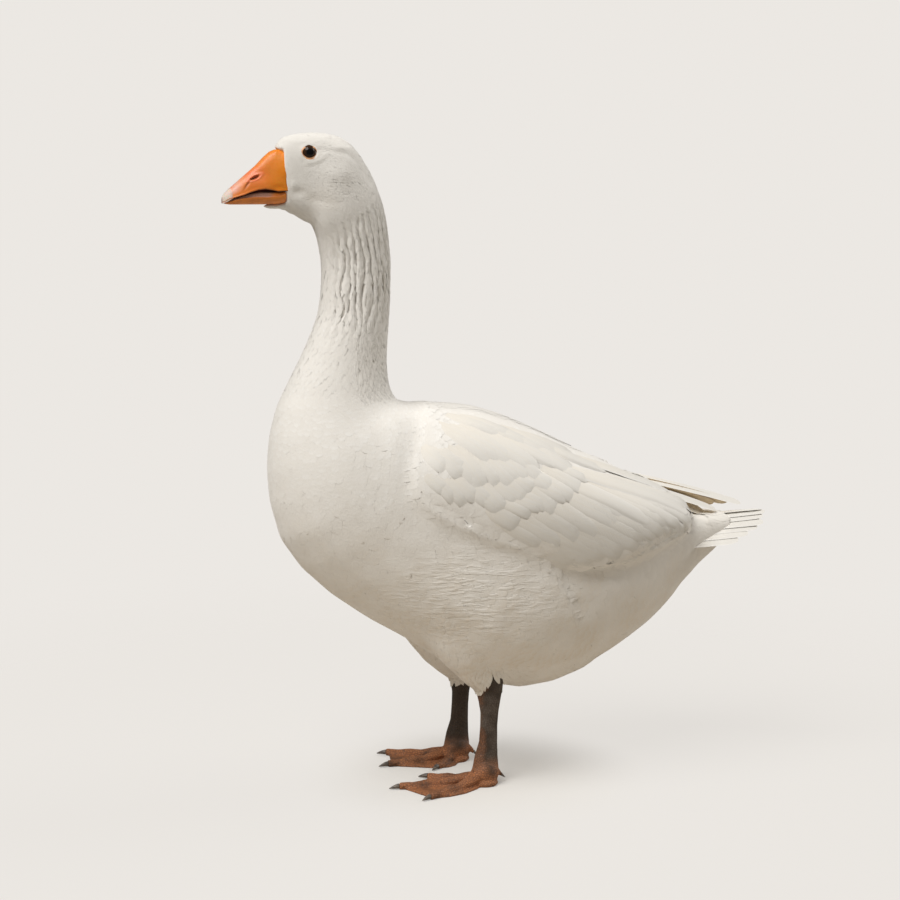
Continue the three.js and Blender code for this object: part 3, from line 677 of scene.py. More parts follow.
def closeBack(mesh):  # a low ridge that fills the cut between the folded wings, as far as they touch
    plan = skinPlan["ridge"]
    shape = bmesh.new()
    shape.from_mesh(mesh)
    tree = BVHTree.FromBMesh(shape)
    rows = []
    half, down = plan["half"] * mm, Vector((0, 0, -1))
    for x in np.linspace(*plan["span"], 16) * mm:
        starts = [Vector((x, way * plan["beside"] * mm, 0.6)) for way in (-1, 1)]
        top = min(tree.ray_cast(start, down)[0][2] for start in starts) - plan["below"] * mm
        low = top - plan["deep"] * mm
        corners = ((-half, top), (half, top), (half, low), (-half, low))
        rows.append([shape.verts.new((x, y, z)) for y, z in corners])
    for first, second in zip(rows, rows[1:]):
        for i in range(4):
            shape.faces.new((first[i], first[i - 1], second[i - 1], second[i]))
    shape.faces.new(rows[0])
    shape.faces.new(rows[-1][::-1])
    shape.to_mesh(mesh)
    shape.free()
    return mesh


def makeSkin():
    plan = skinPlan
    mesh = closeBack(joined(fleshNodes + ["eye_left", "eye_right"], plan["swell"]))
    mesh = modified(mesh, "REMESH", mode="VOXEL", voxel_size=plan["voxel"] * mm)
    points = placesOf(mesh)
    z = points[:, 2] / mm
    ease = np.where(z > 430, 1 - (1 - plan["neckEase"]) * ramp(z, 430, 480), 1.0)
    ease = ease + (plan["headEase"] - ease) * headShare(points)
    ease = plan["legEase"] + (ease - plan["legEase"]) * ramp(z, 96, 116)
    mesh = modified(mesh, "SMOOTH", group=ease, factor=0.5, iterations=plan["rounds"])
    x, y, z = (placesOf(mesh) / mm).T
    shoulder = ramp(x, -165, -140) * (1 - ramp(x, -80, -48)) * ramp(z, 262, 292) * (1 - ramp(z, 392, 412))
    shoulder = shoulder * ramp(np.abs(y), 20, 45)
    mesh = modified(mesh, "SMOOTH", group=shoulder, factor=0.5, iterations=plan["shoulder"])
    points = placesOf(mesh)
    moveTo(mesh, setEyesIn(points - normalsOf(mesh) * sculpt(points)[:, None]))
    return modified(mesh, "SMOOTH", factor=0.5, iterations=2)


print("skin")
skinMesh = makeSkin()
skinPlaces, skinNormals = placesOf(skinMesh), normalsOf(skinMesh)
skinFaces = valuesOf(skinMesh.loops, "vertex_index", 1, np.int32).reshape(-1, 4)
skinTree = BVHTree.FromPolygons(skinPlaces.tolist(), skinFaces.tolist())
print("skin", len(skinPlaces))


def onSkin(points):  # nearest places on the skin, and its smooth normals there
    found = [skinTree.find_nearest(p) for p in points.tolist()]
    places = np.array([f[0] for f in found])
    corners = skinFaces[[f[2] for f in found]]
    gap = np.linalg.norm(skinPlaces[corners] - places[:, None], axis=2) + 1e-5
    weight = 1 / gap
    return places, unit((skinNormals[corners] * weight[:, :, None]).sum(1))


def storeMarks(mesh, marks):  # what the materials read at each vertex
    store = mesh.attributes.new("vane", "FLOAT_VECTOR", "POINT")
    store.data.foreach_set("vector", marks.astype(np.float32).ravel())


def shown(name, mesh, slot, *finishes):  # a mesh as a piece of the goose
    for finish in finishes:
        mesh.materials.append(finish)
    mesh.polygons.foreach_set("use_smooth", np.ones(len(mesh.polygons), bool))
    piece = bpy.data.objects.new(name, mesh)
    bpy.context.scene.collection.objects.link(piece)
    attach(piece, "root")
    return piece


def showSkin():
    ends = placesOf(skinMesh)
    keep = 1 - np.maximum(headShare(ends), 1 - ramp(ends[:, 2] / mm, 100, 125))
    mesh = modified(skinMesh, "DECIMATE", group=keep, ratio=skinPlan["faces"])
    crest, share = furrows(placesOf(mesh))
    valley = (1 - crest) * share
    # the furrows' depth, which the plumage paints as shade
    storeMarks(mesh, np.stack([0 * valley, 0 * valley, -valley], 1))
    piece = shown("skin", mesh, "plumage", plumageFinish, legFinish)
    x, y, z = (valuesOf(mesh.polygons, "center") / mm).T
    bare = skinPlan["legSkin"]
    inReach = np.hypot(x - bare["at"][0], np.abs(y) - bare["at"][1]) < bare["reach"]
    isLeg = (z < bare["below"]) & inReach & (x < bare["before"]) | (z < bare["feet"])
    mesh.polygons.foreach_set("material_index", isLeg.astype(np.int32))
    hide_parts(*fleshNodes)


showSkin()
print("skin shown")

# Shapes of vanes: rows are shares of the length and widths the half width there. spread is half width
# over length, gap the distance between roots over length, barb how ragged the tip is, dip how far the
# end goes down, low how high the root starts, dome how much the sides and the end fall off.
vaneShapes = {
    "fluff": {"rows": (0, 0.4, 0.78, 1), "widths": (0.5, 1, 0.75, 0.12), "columns": 3,
              "thick": 0.1, "arch": 0.05, "spread": 0.24, "gap": 0.3, "barb": 0.05,
              "dip": 0.12, "low": 0.5, "dome": (0, 0)},
    "lock": {"rows": (0, 0.3, 0.6, 0.85, 1), "widths": (0.5, 0.95, 1, 0.6, 0.1), "columns": 3,
             "thick": 0.3, "arch": 0.5, "spread": 0.14, "gap": 0.18, "barb": 0.05,
             "dip": 0.15, "low": 0.35, "dome": (0, 0)},
    "vane": {"rows": (0, 0.3, 0.55, 0.75, 0.88, 0.96, 1), "widths": (0.5, 0.9, 1, 1, 0.96, 0.9, 0.84),
             "columns": 5, "thick": 0.08, "arch": 0.0, "spread": 0.36, "gap": 0.27, "barb": 0.008,
             "dip": 0.1, "low": 0.6, "dome": (0, 0)},
    "covert": {"rows": (0, 0.2, 0.4, 0.58, 0.74, 0.86, 0.94, 0.985, 1),
               "widths": (0.5, 0.85, 1, 1, 1, 0.98, 0.95, 0.91, 0.88),
               "columns": 9, "thick": 0.25, "arch": 0.45, "spread": 0.4, "barb": 0.006, "dip": 0.2,
               "dome": (0.92, 0.6)},
    "blade": {"rows": (0, 0.1, 0.2, 0.3, 0.4, 0.5, 0.6, 0.7, 0.79, 0.87, 0.93, 0.97, 1),
              "widths": (0.4, 0.62, 0.8, 0.92, 1, 1, 1, 0.99, 0.96, 0.92, 0.88, 0.84, 0.8),
              "columns": 9, "thick": 0.4, "arch": 0.7, "spread": 0.1, "barb": 0.002, "dip": 0.0,
              "dome": (0.4, 0.3)},
}
freeFrom = 2.7  # blades lying at least so high over the skin may stand free
drapeLimit = 4.5  # how far in millimetres a vane bends down to meet the skin before it stands free
tuftPatch = 0.003  # side of a vane's own patch on the map
mapEdge, mapSpan = 0.01, 0.97  # keep the patches inside the map
spine = [  # the middle of the body in side view, bill to tail, for unwrapping the skin round it
    (-250, 645), (-215, 655), (-178, 640), (-166, 590), (-164, 545), (-167, 500), (-178, 450),
    (-190, 400), (-180, 345), (-145, 290), (-90, 250), (-30, 230), (40, 215), (110, 215), (190, 235),
    (260, 255),
]


def unwrapped(points):  # share of the way along the body and round it
    line = np.array(spine, float) * mm
    legs = np.diff(line, axis=0)
    lengths = np.linalg.norm(legs, axis=1)
    start = np.concatenate([[0], np.cumsum(lengths)[:-1]])
    pick, t, _, offset = nearestLeg(points[:, [0, 2]], line)
    along = (start[pick] + t * lengths[pick]) / lengths.sum()
    turned = legs[pick][:, ::-1] * [-1, 1] / lengths[pick][:, None]
    above = (offset * turned).sum(1)
    around = np.arctan2(points[:, 1], above) / (2 * math.pi) + 0.5
    return mapEdge + mapSpan * np.stack([along, around], 1)


def scattered(places, gaps, rng):  # a random choice of places, each at least its gap from the others
    tree = KDTree(len(places))
    for i, p in enumerate(places.tolist()):
        tree.insert(p, i)
    tree.balance()
    free = bytearray(b"\x01") * len(places)
    chosen = []
    for i in rng.permutation(len(places)).tolist():
        if free[i]:
            chosen.append(i)
            for _, j, _ in tree.find_range(places[i].tolist(), gaps[i]):
                free[j] = 0
    return np.array(chosen)


def panel(rows, columns, offset):  # quads of one grid of points
    cell = np.arange((rows - 1) * columns).reshape(rows - 1, columns)[:, :-1].ravel() + offset
    return np.stack([cell, cell + 1, cell + columns + 1, cell + columns], 1)


def turnOut(mesh, fill):  # ends closed if asked, and every face turned outwards
    shape = bmesh.new()
    shape.from_mesh(mesh)
    if fill:
        bmesh.ops.holes_fill(shape, edges=shape.edges, sides=0)
    bmesh.ops.recalc_face_normals(shape, faces=shape.faces)
    shape.to_mesh(mesh)
    shape.free()


def pieceFrom(name, places, quads, marks, finish, slot, spots=None, fill=False):
    mesh = bpy.data.meshes.new(name)
    mesh.vertices.add(places.size // 3)
    mesh.vertices.foreach_set("co", places.astype(np.float32).ravel())
    mesh.loops.add(quads.size)
    mesh.loops.foreach_set("vertex_index", quads.astype(np.int32).ravel())
    mesh.polygons.add(len(quads))
    mesh.polygons.foreach_set("loop_start", np.arange(0, quads.size, 4, dtype=np.int32))
    mesh.update(calc_edges=True)
    storeMarks(mesh, marks)
    if spots is None:
        turnOut(mesh, fill)
    else:
        layer = mesh.uv_layers.new(name="OFBake")
        layer.uv.foreach_set("vector", spots.reshape(-1, 2)[quads.ravel()].astype(np.float32).ravel())
    return shown(name, mesh, slot, finish)


def bladesFrom(name, top, up, marks, roots, shape, finish, slot):  # solid vanes from their upper faces
    count, rows, columns = top.shape[:3]
    pick = [0, columns // 2, columns - 1]
    under = top[:, :, pick].copy()
    rib = np.sin(math.pi * np.clip(np.array(shape["rows"]), 0.02, 0.98)) ** 0.5
    under[:, :, 1] -= up[:, :, pick[1]] * (shape["thick"] * mm * rib)[:, None]
    places = np.concatenate([top.reshape(count, -1, 3), under.reshape(count, -1, 3)], 1)
    marks = np.concatenate([marks.reshape(count, -1, 3), marks[:, :, pick].reshape(count, -1, 3)], 1)
    back = panel(rows, 3, rows * columns)  # three columns wide, with the outline of the top
    quads = np.concatenate([panel(rows, columns, 0), back[:, ::-1]])
    quads = (quads[None] + np.arange(count)[:, None, None] * places.shape[1]).reshape(-1, 4)
    spots = unwrapped(roots)[:, None] + (marks[..., :2] * [0.5, 1] - [0, 0.5]) * tuftPatch
    return pieceFrom(name, places, quads, marks, finish, slot, spots)


def vaneMarks(u, v, rng):  # across and along the vane, and a number of its own
    chance = rng.uniform(0, 1, len(u))
    return np.stack([u, v, np.broadcast_to(chance[:, None, None], u.shape)], -1)


def vaneGrid(count, shape, length, half, rng):  # across, along, and the offsets to the side
    rows, columns = np.array(shape["rows"]), shape["columns"]
    u = np.broadcast_to(np.linspace(-1, 1, columns), (count, len(rows), columns))
    v = np.broadcast_to(rows[:, None], u.shape).copy()
    blunt = np.minimum(half / length, 0.5)[:, None, None] * (0.4 if columns == 3 else 1.1)
    ragged = rng.normal(0, shape["barb"] / 2, u.shape) * (v > 0.8)
    v = v * (1 - blunt * (1 - np.sqrt(1 - 0.92 * u ** 2))) + ragged
    bend = rng.normal(0, 0.05 * shape["spread"] / 0.4, count)[:, None, None] * v ** 2
    side = u * np.array(shape["widths"])[:, None] * half[:, None, None] + bend * length[:, None, None]
    return u, v, side


def layVanes(name, roots, normals, flow, length, depth, style, rng, half=None, lean=0.0, low=None,
             finish=plumageFinish, slot="plumage", ends=None):
    shape = vaneShapes[style]
    count = len(roots)
    low = shape["low"] if low is None else low
    loose = 1.0 if half is None else 0.25
    tilt = rng.normal(0, 0.08 * loose, count)[:, None]
    ahead = unit(flow - normals * (flow * normals).sum(1)[:, None])
    beside = np.cross(normals, ahead)
    ahead, beside = ahead + beside * tilt, beside - ahead * tilt
    length = length * (1 + rng.uniform(-0.12, 0.14, count) * loose)
    half = length * shape["spread"] * rng.uniform(0.9, 1.1, count) if half is None else half
    u, v, side = vaneGrid(count, shape, length, half, rng)
    steady = np.broadcast_to(normals[:, None, None], u.shape + (3,))
    if ends is None:
        flat = roots[:, None, None] + ahead[:, None, None] * (v * length[:, None, None])[..., None]
        flat = flat + beside[:, None, None] * side[..., None]
    else:
        middle = roots[:, None] + (ends - roots)[:, None] * np.array(shape["rows"])[:, None]
        line, above = onSkin(middle.reshape(-1, 3))
        line, above = line.reshape(middle.shape), above.reshape(middle.shape)
        onward = unit(np.gradient(line, axis=1))
        beside = unit(np.cross(above, onward))
        back = (v - np.array(shape["rows"])[:, None]) * length[:, None, None]
        flat = line[:, :, None] + beside[:, :, None] * side[..., None]
        flat = flat + onward[:, :, None] * back[..., None]
        steady = np.broadcast_to(above[:, :, None], flat.shape)
    ground, up = onSkin(flat.reshape(-1, 3))
    ground, up = ground.reshape(flat.shape), up.reshape(flat.shape)
    keep = np.ones(count, bool)
    if style == "blade" and depth.min() > freeFrom * mm:
        ground, up = freed(flat, ground, up, steady, length)
    elif ends is None:  # a vane that would bend over an edge is left out
        keep = (up * steady).sum(-1).min(axis=(1, 2)) > 0.45
    rise = depth[:, None, None] * (low + (1 - low) * (1 - (1 - np.clip(v, 0, 1)) ** 2))
    rise = rise * rng.uniform(0.97, 1.0, count)[:, None, None]
    aside, beyond = shape["dome"]
    rise = rise * (1 - np.maximum(aside * u ** 4, beyond * ramp(v, 0.7, 1.0) ** 2))
    rise = rise + shape["arch"] * mm * (1 - u ** 2) * v - 0.1 * mm + lean * mm * u * v
    rise = rise - shape["dip"] * mm * (ramp(v, 0.62, 1.05) + 0.8 * u ** 2 * ramp(v, 0.1, 0.5))
    top = ground + up * rise[..., None]
    marks = vaneMarks(u, v, rng)
    return bladesFrom(name, top[keep], up[keep], marks[keep], roots[keep], shape, finish, slot)


def freed(flat, ground, up, steady, length):  # let a vane stand free where the skin falls away
    toGround = ground - flat
    drop = -(toGround * steady).sum(-1)
    aside = np.linalg.norm(toGround + steady * drop[..., None], axis=-1)
    turned = (up * steady).sum(-1) < 0.6
    limit = drapeLimit * mm + length[:, None, None] * 0.1
    loose = ((drop > limit) | (aside > limit) | turned)[..., None]
    held = flat - steady * np.clip(drop, 0, limit)[..., None] * 0.7
    return np.where(loose, held, ground), np.where(loose, steady, up)


legPlan = {
    "at": (-33, 49),  # where a shank enters the plumage, seen from above
    "bare": (125, 17),  # height and distance below and within which the leg is bare
    "fringe": (140, 33),  # the same for the locks that fray out round it
}


def eyeGap(points):  # distance from the nearer eye in the side view, as the bare oval is stretched
    alongX, upZ, _ = eyeBare
    return np.hypot((points[:, 0] / mm - eyePlace[0]) / alongX, (points[:, 2] / mm - eyePlace[2]) / upZ)


def legGap(x, y):  # distance from the nearer leg, seen from above
    return np.hypot(x - legPlan["at"][0], np.abs(y) - legPlan["at"][1])


def fringe(x, y, z):
    return (z < legPlan["fringe"][0]) & (legGap(x, y) < legPlan["fringe"][1])


def coatHere(points):  # which places carry plumage
    x, y, z = (points / mm).T
    height, reach = legPlan["bare"]
    legs = (z < height + 4 * latticeNoise(points, 5, 9)) & (legGap(x, y) < reach)
    chin = (z < 613.5) & (x > -262)
    forehead = (z > 670.5) & (x > -249)
    face = (x > -239) | chin | forehead
    return (z > 92) & ~legs & face & ((eyeGap(points) > eyeBare[2]) | (z < 600)) & (x < 262)


wingEdge = [  # lower edge of the folded wing in side view
    (-110, 340), (-80, 322), (-40, 298), (0, 280), (20, 266), (60, 262), (110, 270), (150, 276),
    (200, 290),
]


def onWing(points):  # 1 where the rows of wing feathers cover the coat
    x, y, z = (points / mm).T
    lower = np.interp(x, *np.transpose(wingEdge))
    here = ramp(x, -112, -88) * (1 - ramp(x, 190, 204)) * (0.6 + 0.4 * ramp(np.abs(y), 8, 26))
    return here * ramp(z - lower, -6, 10)


# Pieces of the coat: name, vane style, whether each side has its own, and which places it takes, from
# x, y, z in millimetres and the share of head.
neckFoot, breastEnd, flankTop, bellySide = 425, -110, 290, 25
zones = [
    ("headPlumage", "fluff", True, lambda x, y, z, head: head > 0.5),
    ("neckPlumage_front", "fluff", False, lambda x, y, z, head: onNeck(z, head) & (x < -172)),
    ("neckPlumage", "lock", True, lambda x, y, z, head: onNeck(z, head) & (x >= -172)),
    ("breastPlumage", "vane", True, lambda x, y, z, head: (z <= neckFoot) & (x < breastEnd)),
    ("flankPlumage", "vane", True, lambda x, y, z, head: lowBody(x, y, z) & (np.abs(y) > bellySide)),
    ("legFringe", "lock", True, lambda x, y, z, head: fringe(x, y, z)),
    ("mantlePlumage", "vane", True, lambda x, y, z, head: onBack(x, z)),
    ("bellyPlumage", "vane", False, lambda x, y, z, head: lowBody(x, y, z) & (np.abs(y) <= bellySide)),
]


def onNeck(z, head):
    return (head <= 0.5) & (z > neckFoot)


def lowBody(x, y, z):
    return (x >= breastEnd) & (z < flankTop) & ~fringe(x, y, z)


def onBack(x, z):
    return (x >= breastEnd) & (z >= flankTop) & (z <= neckFoot)


def makeCoat():
    rng = np.random.RandomState(11)
    flow, length, depth = coatFields(skinPlaces)
    here = coatHere(skinPlaces)
    head = headShare(skinPlaces)
    crest, share = furrows(skinPlaces)
    here &= crest > 0.86 * share - 0.22
    depth = depth * (1 - 0.72 * onWing(skinPlaces))
    x, y, z = (skinPlaces / mm).T
    cleft = (x > -96) & (np.abs(y) < 26) & (z > 285)  # the walls between the folded wings stay bare
    here &= ~(cleft & ((skinNormals[:, 2] < 0.5) | (x > 70)))
    here &= ~((x > 180) & (z > 262) & (np.abs(y) > 13) & (x < 222))
    for kind, style, paired, test in zones:
        for side in sides if paired else [None]:
            name = f"{kind}_{side}" if side else kind
            mine = here & test(x, y, z, head)
            if side:
                mine &= (y < 0) == (side == "left")
            mine = np.nonzero(mine)[0]
            gaps = length[mine] * vaneShapes[style]["gap"]
            chosen = mine[scattered(skinPlaces[mine], gaps, rng)]
            piece = layVanes(name, skinPlaces[chosen], skinNormals[chosen], flow[chosen], length[chosen],
                             depth[chosen], style, rng)
            print(name, len(chosen), "vanes", len(piece.data.polygons) * 2, "triangles")


makeCoat()

# Feathers of the wing in rows, as a side view of the left one: roots and tips (x, z), how many, half
# width, how high over the skin at the tip and how much the upper edge rides over the next feather.
wingRows = [
    ("secondaries", "blade", [(-48, 280), (-16, 298), (20, 314), (50, 322), (74, 328)],
     [(64, 239), (98, 244), (130, 252), (162, 262), (190, 270)], 13, 11.0, 2.6, 0.5),
    ("innerQuills", "blade", [(52, 328), (62, 334)], [(192, 268), (202, 275)], 3, 10.5, 2.8, 0.6),
    ("greaterCoverts", "covert", [(-54, 300), (-28, 318), (-5, 326), (20, 334)],
     [(6, 264), (42, 268), (78, 274), (110, 288)], 11, 11.0, 2.6, 0.3),
    ("tertials", "blade", [(10, 338), (34, 346), (50, 354)], [(128, 284), (204, 281), (174, 302)],
     3, 11.0, 3.7, 0.7),
    ("medianCoverts", "covert", [(-56, 314), (-26, 328), (0, 340), (20, 348)],
     [(-16, 292), (12, 300), (38, 312), (58, 326)], 9, 10.5, 3.1, 0.2),
    ("lesserCoverts", "covert", [(-120, 348), (-98, 344), (-72, 340), (-48, 340), (-22, 346)],
     [(-92, 324), (-64, 312), (-38, 306), (-12, 314), (14, 324)], 11, 11, 2.7, 0.15),
    ("shoulderCoverts", "covert", [(-116, 372), (-92, 369), (-62, 368), (-34, 366)],
     [(-88, 346), (-60, 336), (-30, 331), (4, 332)], 10, 12, 2.9, 0.15),
    ("scapulars", "covert", [(-92, 390), (-66, 386), (-38, 380), (-10, 370)],
     [(-40, 356), (-8, 346), (22, 344), (54, 338)], 8, 13, 3.3, 0.2),
    ("upperScapulars", "covert", [(-76, 396), (-46, 389), (-12, 379), (16, 366)],
     [(-24, 374), (10, 362), (46, 350), (86, 332)], 8, 10.5, 3.0, 0.1),
]


def alongLine(points, count):  # evenly spaced places on a line of points
    line = np.array(points, float)
    gone = np.concatenate([[0], np.cumsum(np.linalg.norm(np.diff(line, axis=0), axis=1))])
    stops = np.linspace(0, gone[-1], count)
    return np.stack([np.interp(stops, gone, line[:, 0]), np.interp(stops, gone, line[:, 1])], 1)


def fromSide(spots, side):  # side-view places cast on to one side of the skin
    found = []
    for x, z in spots:
        hit = None
        while hit is None:
            start = Vector((x * mm, side * 0.3, z * mm))
            hit = skinTree.ray_cast(start, Vector((0, -side, 0)), 0.298)[0]
            z -= 1.5
        found.append(hit)
    return np.array(found)


def makeWing(side):
    way = sides[side]
    rng = np.random.RandomState(31 + way)
    for name, style, roots, tips, count, half, depth, lean in wingRows:
        loose = 3.4 if style == "covert" else 1.2
        start = fromSide(alongLine(roots, count) + rng.normal(0, 1, (count, 2)), way)
        end = fromSide(alongLine(tips, count) + rng.normal(0, loose, (count, 2)), way)
        start, up = onSkin(start)
        length = np.linalg.norm(end - start, axis=1)
        halves = half * mm * rng.uniform(0.82, 1.22, count)
        order = np.linspace(0, 0.4, count)
        layVanes(f"{name}_{side}", start, up, unit(end - start), length, (depth + order) * mm, style, rng,
                 halves, lean * way, 0.4, quillFinish, "quill", end)
        print(name, side)


# Free feathers with nothing under them: each follows its own curve.
primaryPlan = {
    "left": {"tip": (240.0, 8, 276.5), "count": 5, "roll": 0.35},  # roll tilts the topmost outward
    "right": {"tip": (277.0, 12, 280.5), "count": 6, "roll": -0.3},
    "root": (78, 36, 326),
    "half": 9.5,
    "sag": 4.0,  # how far the middle of a feather bows up
    "step": (-15, 3.0, -1.5),  # each next tip from the last, along, out and up
    "rootStep": (0, -1.5, -2.5),
}


def freeBlades(name, starts, ends, aims, half, sag, finish, slot, rng, dip=0.0):
    shape = vaneShapes["blade"]
    count = len(starts)
    chord = ends - starts
    length = np.linalg.norm(chord, axis=1)
    half = half * mm * rng.uniform(0.94, 1.06, count)
    u, v, side = vaneGrid(count, shape, length, half, rng)
    ahead = unit(chord)
    beside = unit(np.cross(aims, ahead))
    up = np.cross(ahead, beside)
    line = starts[:, None, None] + chord[:, None, None] * v[..., None]
    arch = shape["arch"] * mm * (1 - u ** 2) * np.sin(math.pi * np.clip(v, 0, 1)) ** 0.5
    bowed = sag * mm * 4 * v * (1 - v) + arch - dip * mm * ramp(v, 0.65, 1.0)
    top = line + beside[:, None, None] * side[..., None] + up[:, None, None] * bowed[..., None]
    ups = np.broadcast_to(up[:, None, None], top.shape)
    return bladesFrom(name, top, ups, vaneMarks(u, v, rng), starts, shape, finish, slot)


def makePrimaries(side):
    way = sides[side]
    plan = primaryPlan
    rng = np.random.RandomState(51 + way)
    count = plan[side]["count"]
    index = np.arange(count)[:, None]
    flip = np.array([1, way, 1])
    tips = (np.array(plan[side]["tip"]) + index * np.array(plan["step"])) * flip
    roots = (np.array(plan["root"]) + index * np.array(plan["rootStep"])) * flip
    roll = np.where(index[:, 0] == 0, plan[side]["roll"], 0.6)
    aims = unit(np.stack([0 * roll, way * roll, 1 - 0.2 * np.abs(roll)], 1))
    piece = freeBlades(f"primaries_{side}_quills", roots * mm, tips * mm, aims, plan["half"], plan["sag"],
                       shadedQuillFinish, "quill", rng)
    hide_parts(f"primaries_{side}")


# The tail, a low roof of feathers with the middle ones uppermost, and the soft ones over and under it.
tailPlan = {
    "softDip": 2.2,  # how far the ends of the soft feathers go down
    "sag": 1.0,
    "round": 0.23,  # how much shorter the outer feathers are
    "rows": [  # name, count, half width, root, tip, spread and droop of the sides at both, slot
        ("tailQuills", 12, 9.8, (176, 265), (300.4, 272.2), (32, 44), (21, 23.5), "quill"),
        ("upperTailCoverts_long", 13, 9.0, (150, 274), (251, 270.4), (27, 32), (16, 16), "plumage"),
        ("upperTailCoverts_short", 11, 10.5, (132, 279), (224, 272.4), (26, 31), (16, 13.5), "plumage"),
        ("underTailVanes", 13, 9.0, (160, 252), (256, 262), (25, 32), (20, 17), "plumage"),
    ],
}


def makeTail():
    plan = tailPlan
    rng = np.random.RandomState(71)
    for name, count, half, root, tip, spread, drop, slot in plan["rows"]:
        isQuill = slot == "quill"
        s = np.linspace(-1, 1, count)
        s = s[np.argsort(-np.abs(s), kind="stable")]
        droop = np.abs(s) ** 1.3
        shorter = plan["round"] * s ** 2 * (tip[0] - 100)
        roots = np.stack([np.full(count, root[0]), spread[0] * s, root[1] - drop[0] * droop], 1)
        tips = np.stack([tip[0] - shorter, spread[1] * s, tip[1] - drop[1] * droop], 1)
        tips += rng.normal(0, 0.8, (count, 3)) * [1.5, 0.6, 0.3] - [1.5, 0, 0]
        aims = unit(np.stack([np.zeros(count), 0.47 * np.sign(s) * np.abs(s) ** 0.3, np.ones(count)], 1))
        piece = freeBlades(name, roots * mm, tips * mm, aims, half, plan["sag"],
                           quillFinish if isQuill else plumageFinish, slot, rng,
                           0.0 if isQuill else plan["softDip"])
        if isQuill:
            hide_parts("tail")


for side in sides:
    makeWing(side)
    makePrimaries(side)
makeTail()
print("long feathers")

# The bill: cross sections from the face to the tip. Every line gives x and then z or half width.
billPlan = {
    "culmen": [(-302, 620.3), (-301, 622.8), (-299, 625.6), (-294.5, 630.2), (-288.5, 635.2),
               (-275.5, 646.2), (-266, 654.2), (-258.5, 662), (-252, 667.6), (-247, 669.8), (-238, 670.6)],
    "rim": [(-302, 617.4), (-299, 617.6), (-295, 620), (-289, 621.7), (-280, 624.3), (-273.8, 626.9),
            (-266.3, 629.2), (-258.6, 630.0), (-250.8, 628.9), (-245.8, 627.6), (-238, 628.4)],
    "lowerEdge": [(-299, 616.2), (-295, 617.6), (-289, 619.2), (-282.6, 620.7), (-269.9, 622.1),
                  (-257, 621.8), (-245.5, 622.9), (-238, 625.7)],
    "strip": [(-299, 616.6), (-289, 620.4), (-280, 623.6), (-271, 625.9), (-263.5, 627), (-257, 626.8),
              (-250.6, 626.6), (-243, 626.6), (-238, 627.2)],
    "keel": [(-299, 615.2), (-294, 614.5), (-258, 614.4), (-248, 614.6), (-238, 615.6)],
    "width": [(-302, 1.6), (-301.2, 3.4), (-299, 5.8), (-294.5, 8.0), (-289, 10.2), (-281, 12.1),
              (-269, 13.3), (-257, 14.3), (-247, 15.2), (-238, 15.9)],
    "nailRim": [(-301.6, 615.7), (-300, 615.8), (-297, 617.2), (-293, 619.6), (-289, 622.2)],
    "comb": [  # rows of the lower bill's comb: how far in from the side, and how far up the strip
        (2.6, 0.98), (2.1, 1.0), (1.8, 0.8), (1.6, 0.55), (1.5, 0.3), (1.45, 0.08), (0.8, -0.03)],
    "rear": -237.6,  # where the halves begin, inside the face
    "tip": -301.4,
    "lowerTip": -298.8,
    "wall": 1.3,
    "rows": 120,
    "columns": 81,
}


def billAt(x, line):
    points = np.array(sorted(billPlan[line]))
    return np.interp(x, points[:, 0], points[:, 1])


def ringQuads(rings, around):  # quads between rings of points
    row = np.arange(rings - 1)[:, None] * around
    col = np.arange(around)[None]
    after = (col + 1) % around
    quads = np.stack([row + col, row + after, row + around + after, row + around + col], -1)
    return quads.reshape(-1, 4)


def solidSheet(name, outer, inner, field, finish, slot):  # a bent sheet with thickness, edges closed
    rows, columns = outer.shape[:2]
    places = np.concatenate([outer, inner[:, ::-1]], 1)
    marks = np.concatenate([field, field[:, ::-1]], 1)
    loop = 2 * columns
    j = np.arange(columns - 1)
    cap = np.stack([j, loop - 1 - j, loop - 2 - j, j + 1], -1)
    quads = np.concatenate([ringQuads(rows, loop), cap, (cap + (rows - 1) * loop)[:, ::-1]])
    return pieceFrom(name, places * mm, quads, marks, finish, slot)


# Marks on the side of the bill: where, how long and high, how far turned, and how deep they are.
nostril = {
    "at": (-269.2, 641.6), "reach": (5.6, 1.7), "turn": math.radians(25), "deep": 2.4,
    "ring": 0.45,  # how far its rim stands out
}
groove = {"at": (-277, 634.5), "reach": (5.5, 1.1), "turn": 0.95, "deep": 0.8}
billBumps = [  # how far out, and the middle and reach along x and up
    (-0.9, (-266, 12), (646, 5)),
    (0.9, (-262, 14), (634.5, 4.5)),
    (-0.9, (-246, 7), (631, 2.6)),
]


def turned(x, z, mark):  # along and across a slanting mark, as shares of its reach
    dx, dz = x - mark["at"][0], z - mark["at"][1]
    c, s = math.cos(mark["turn"]), math.sin(mark["turn"])
    return (dx * c + dz * s) / mark["reach"][0], (dz * c - dx * s) / mark["reach"][1]


def bowed(a, power):  # from 1 to -1 across the bill, fuller than a cosine
    return np.sign(np.cos(a)) * np.abs(np.cos(a)) ** power


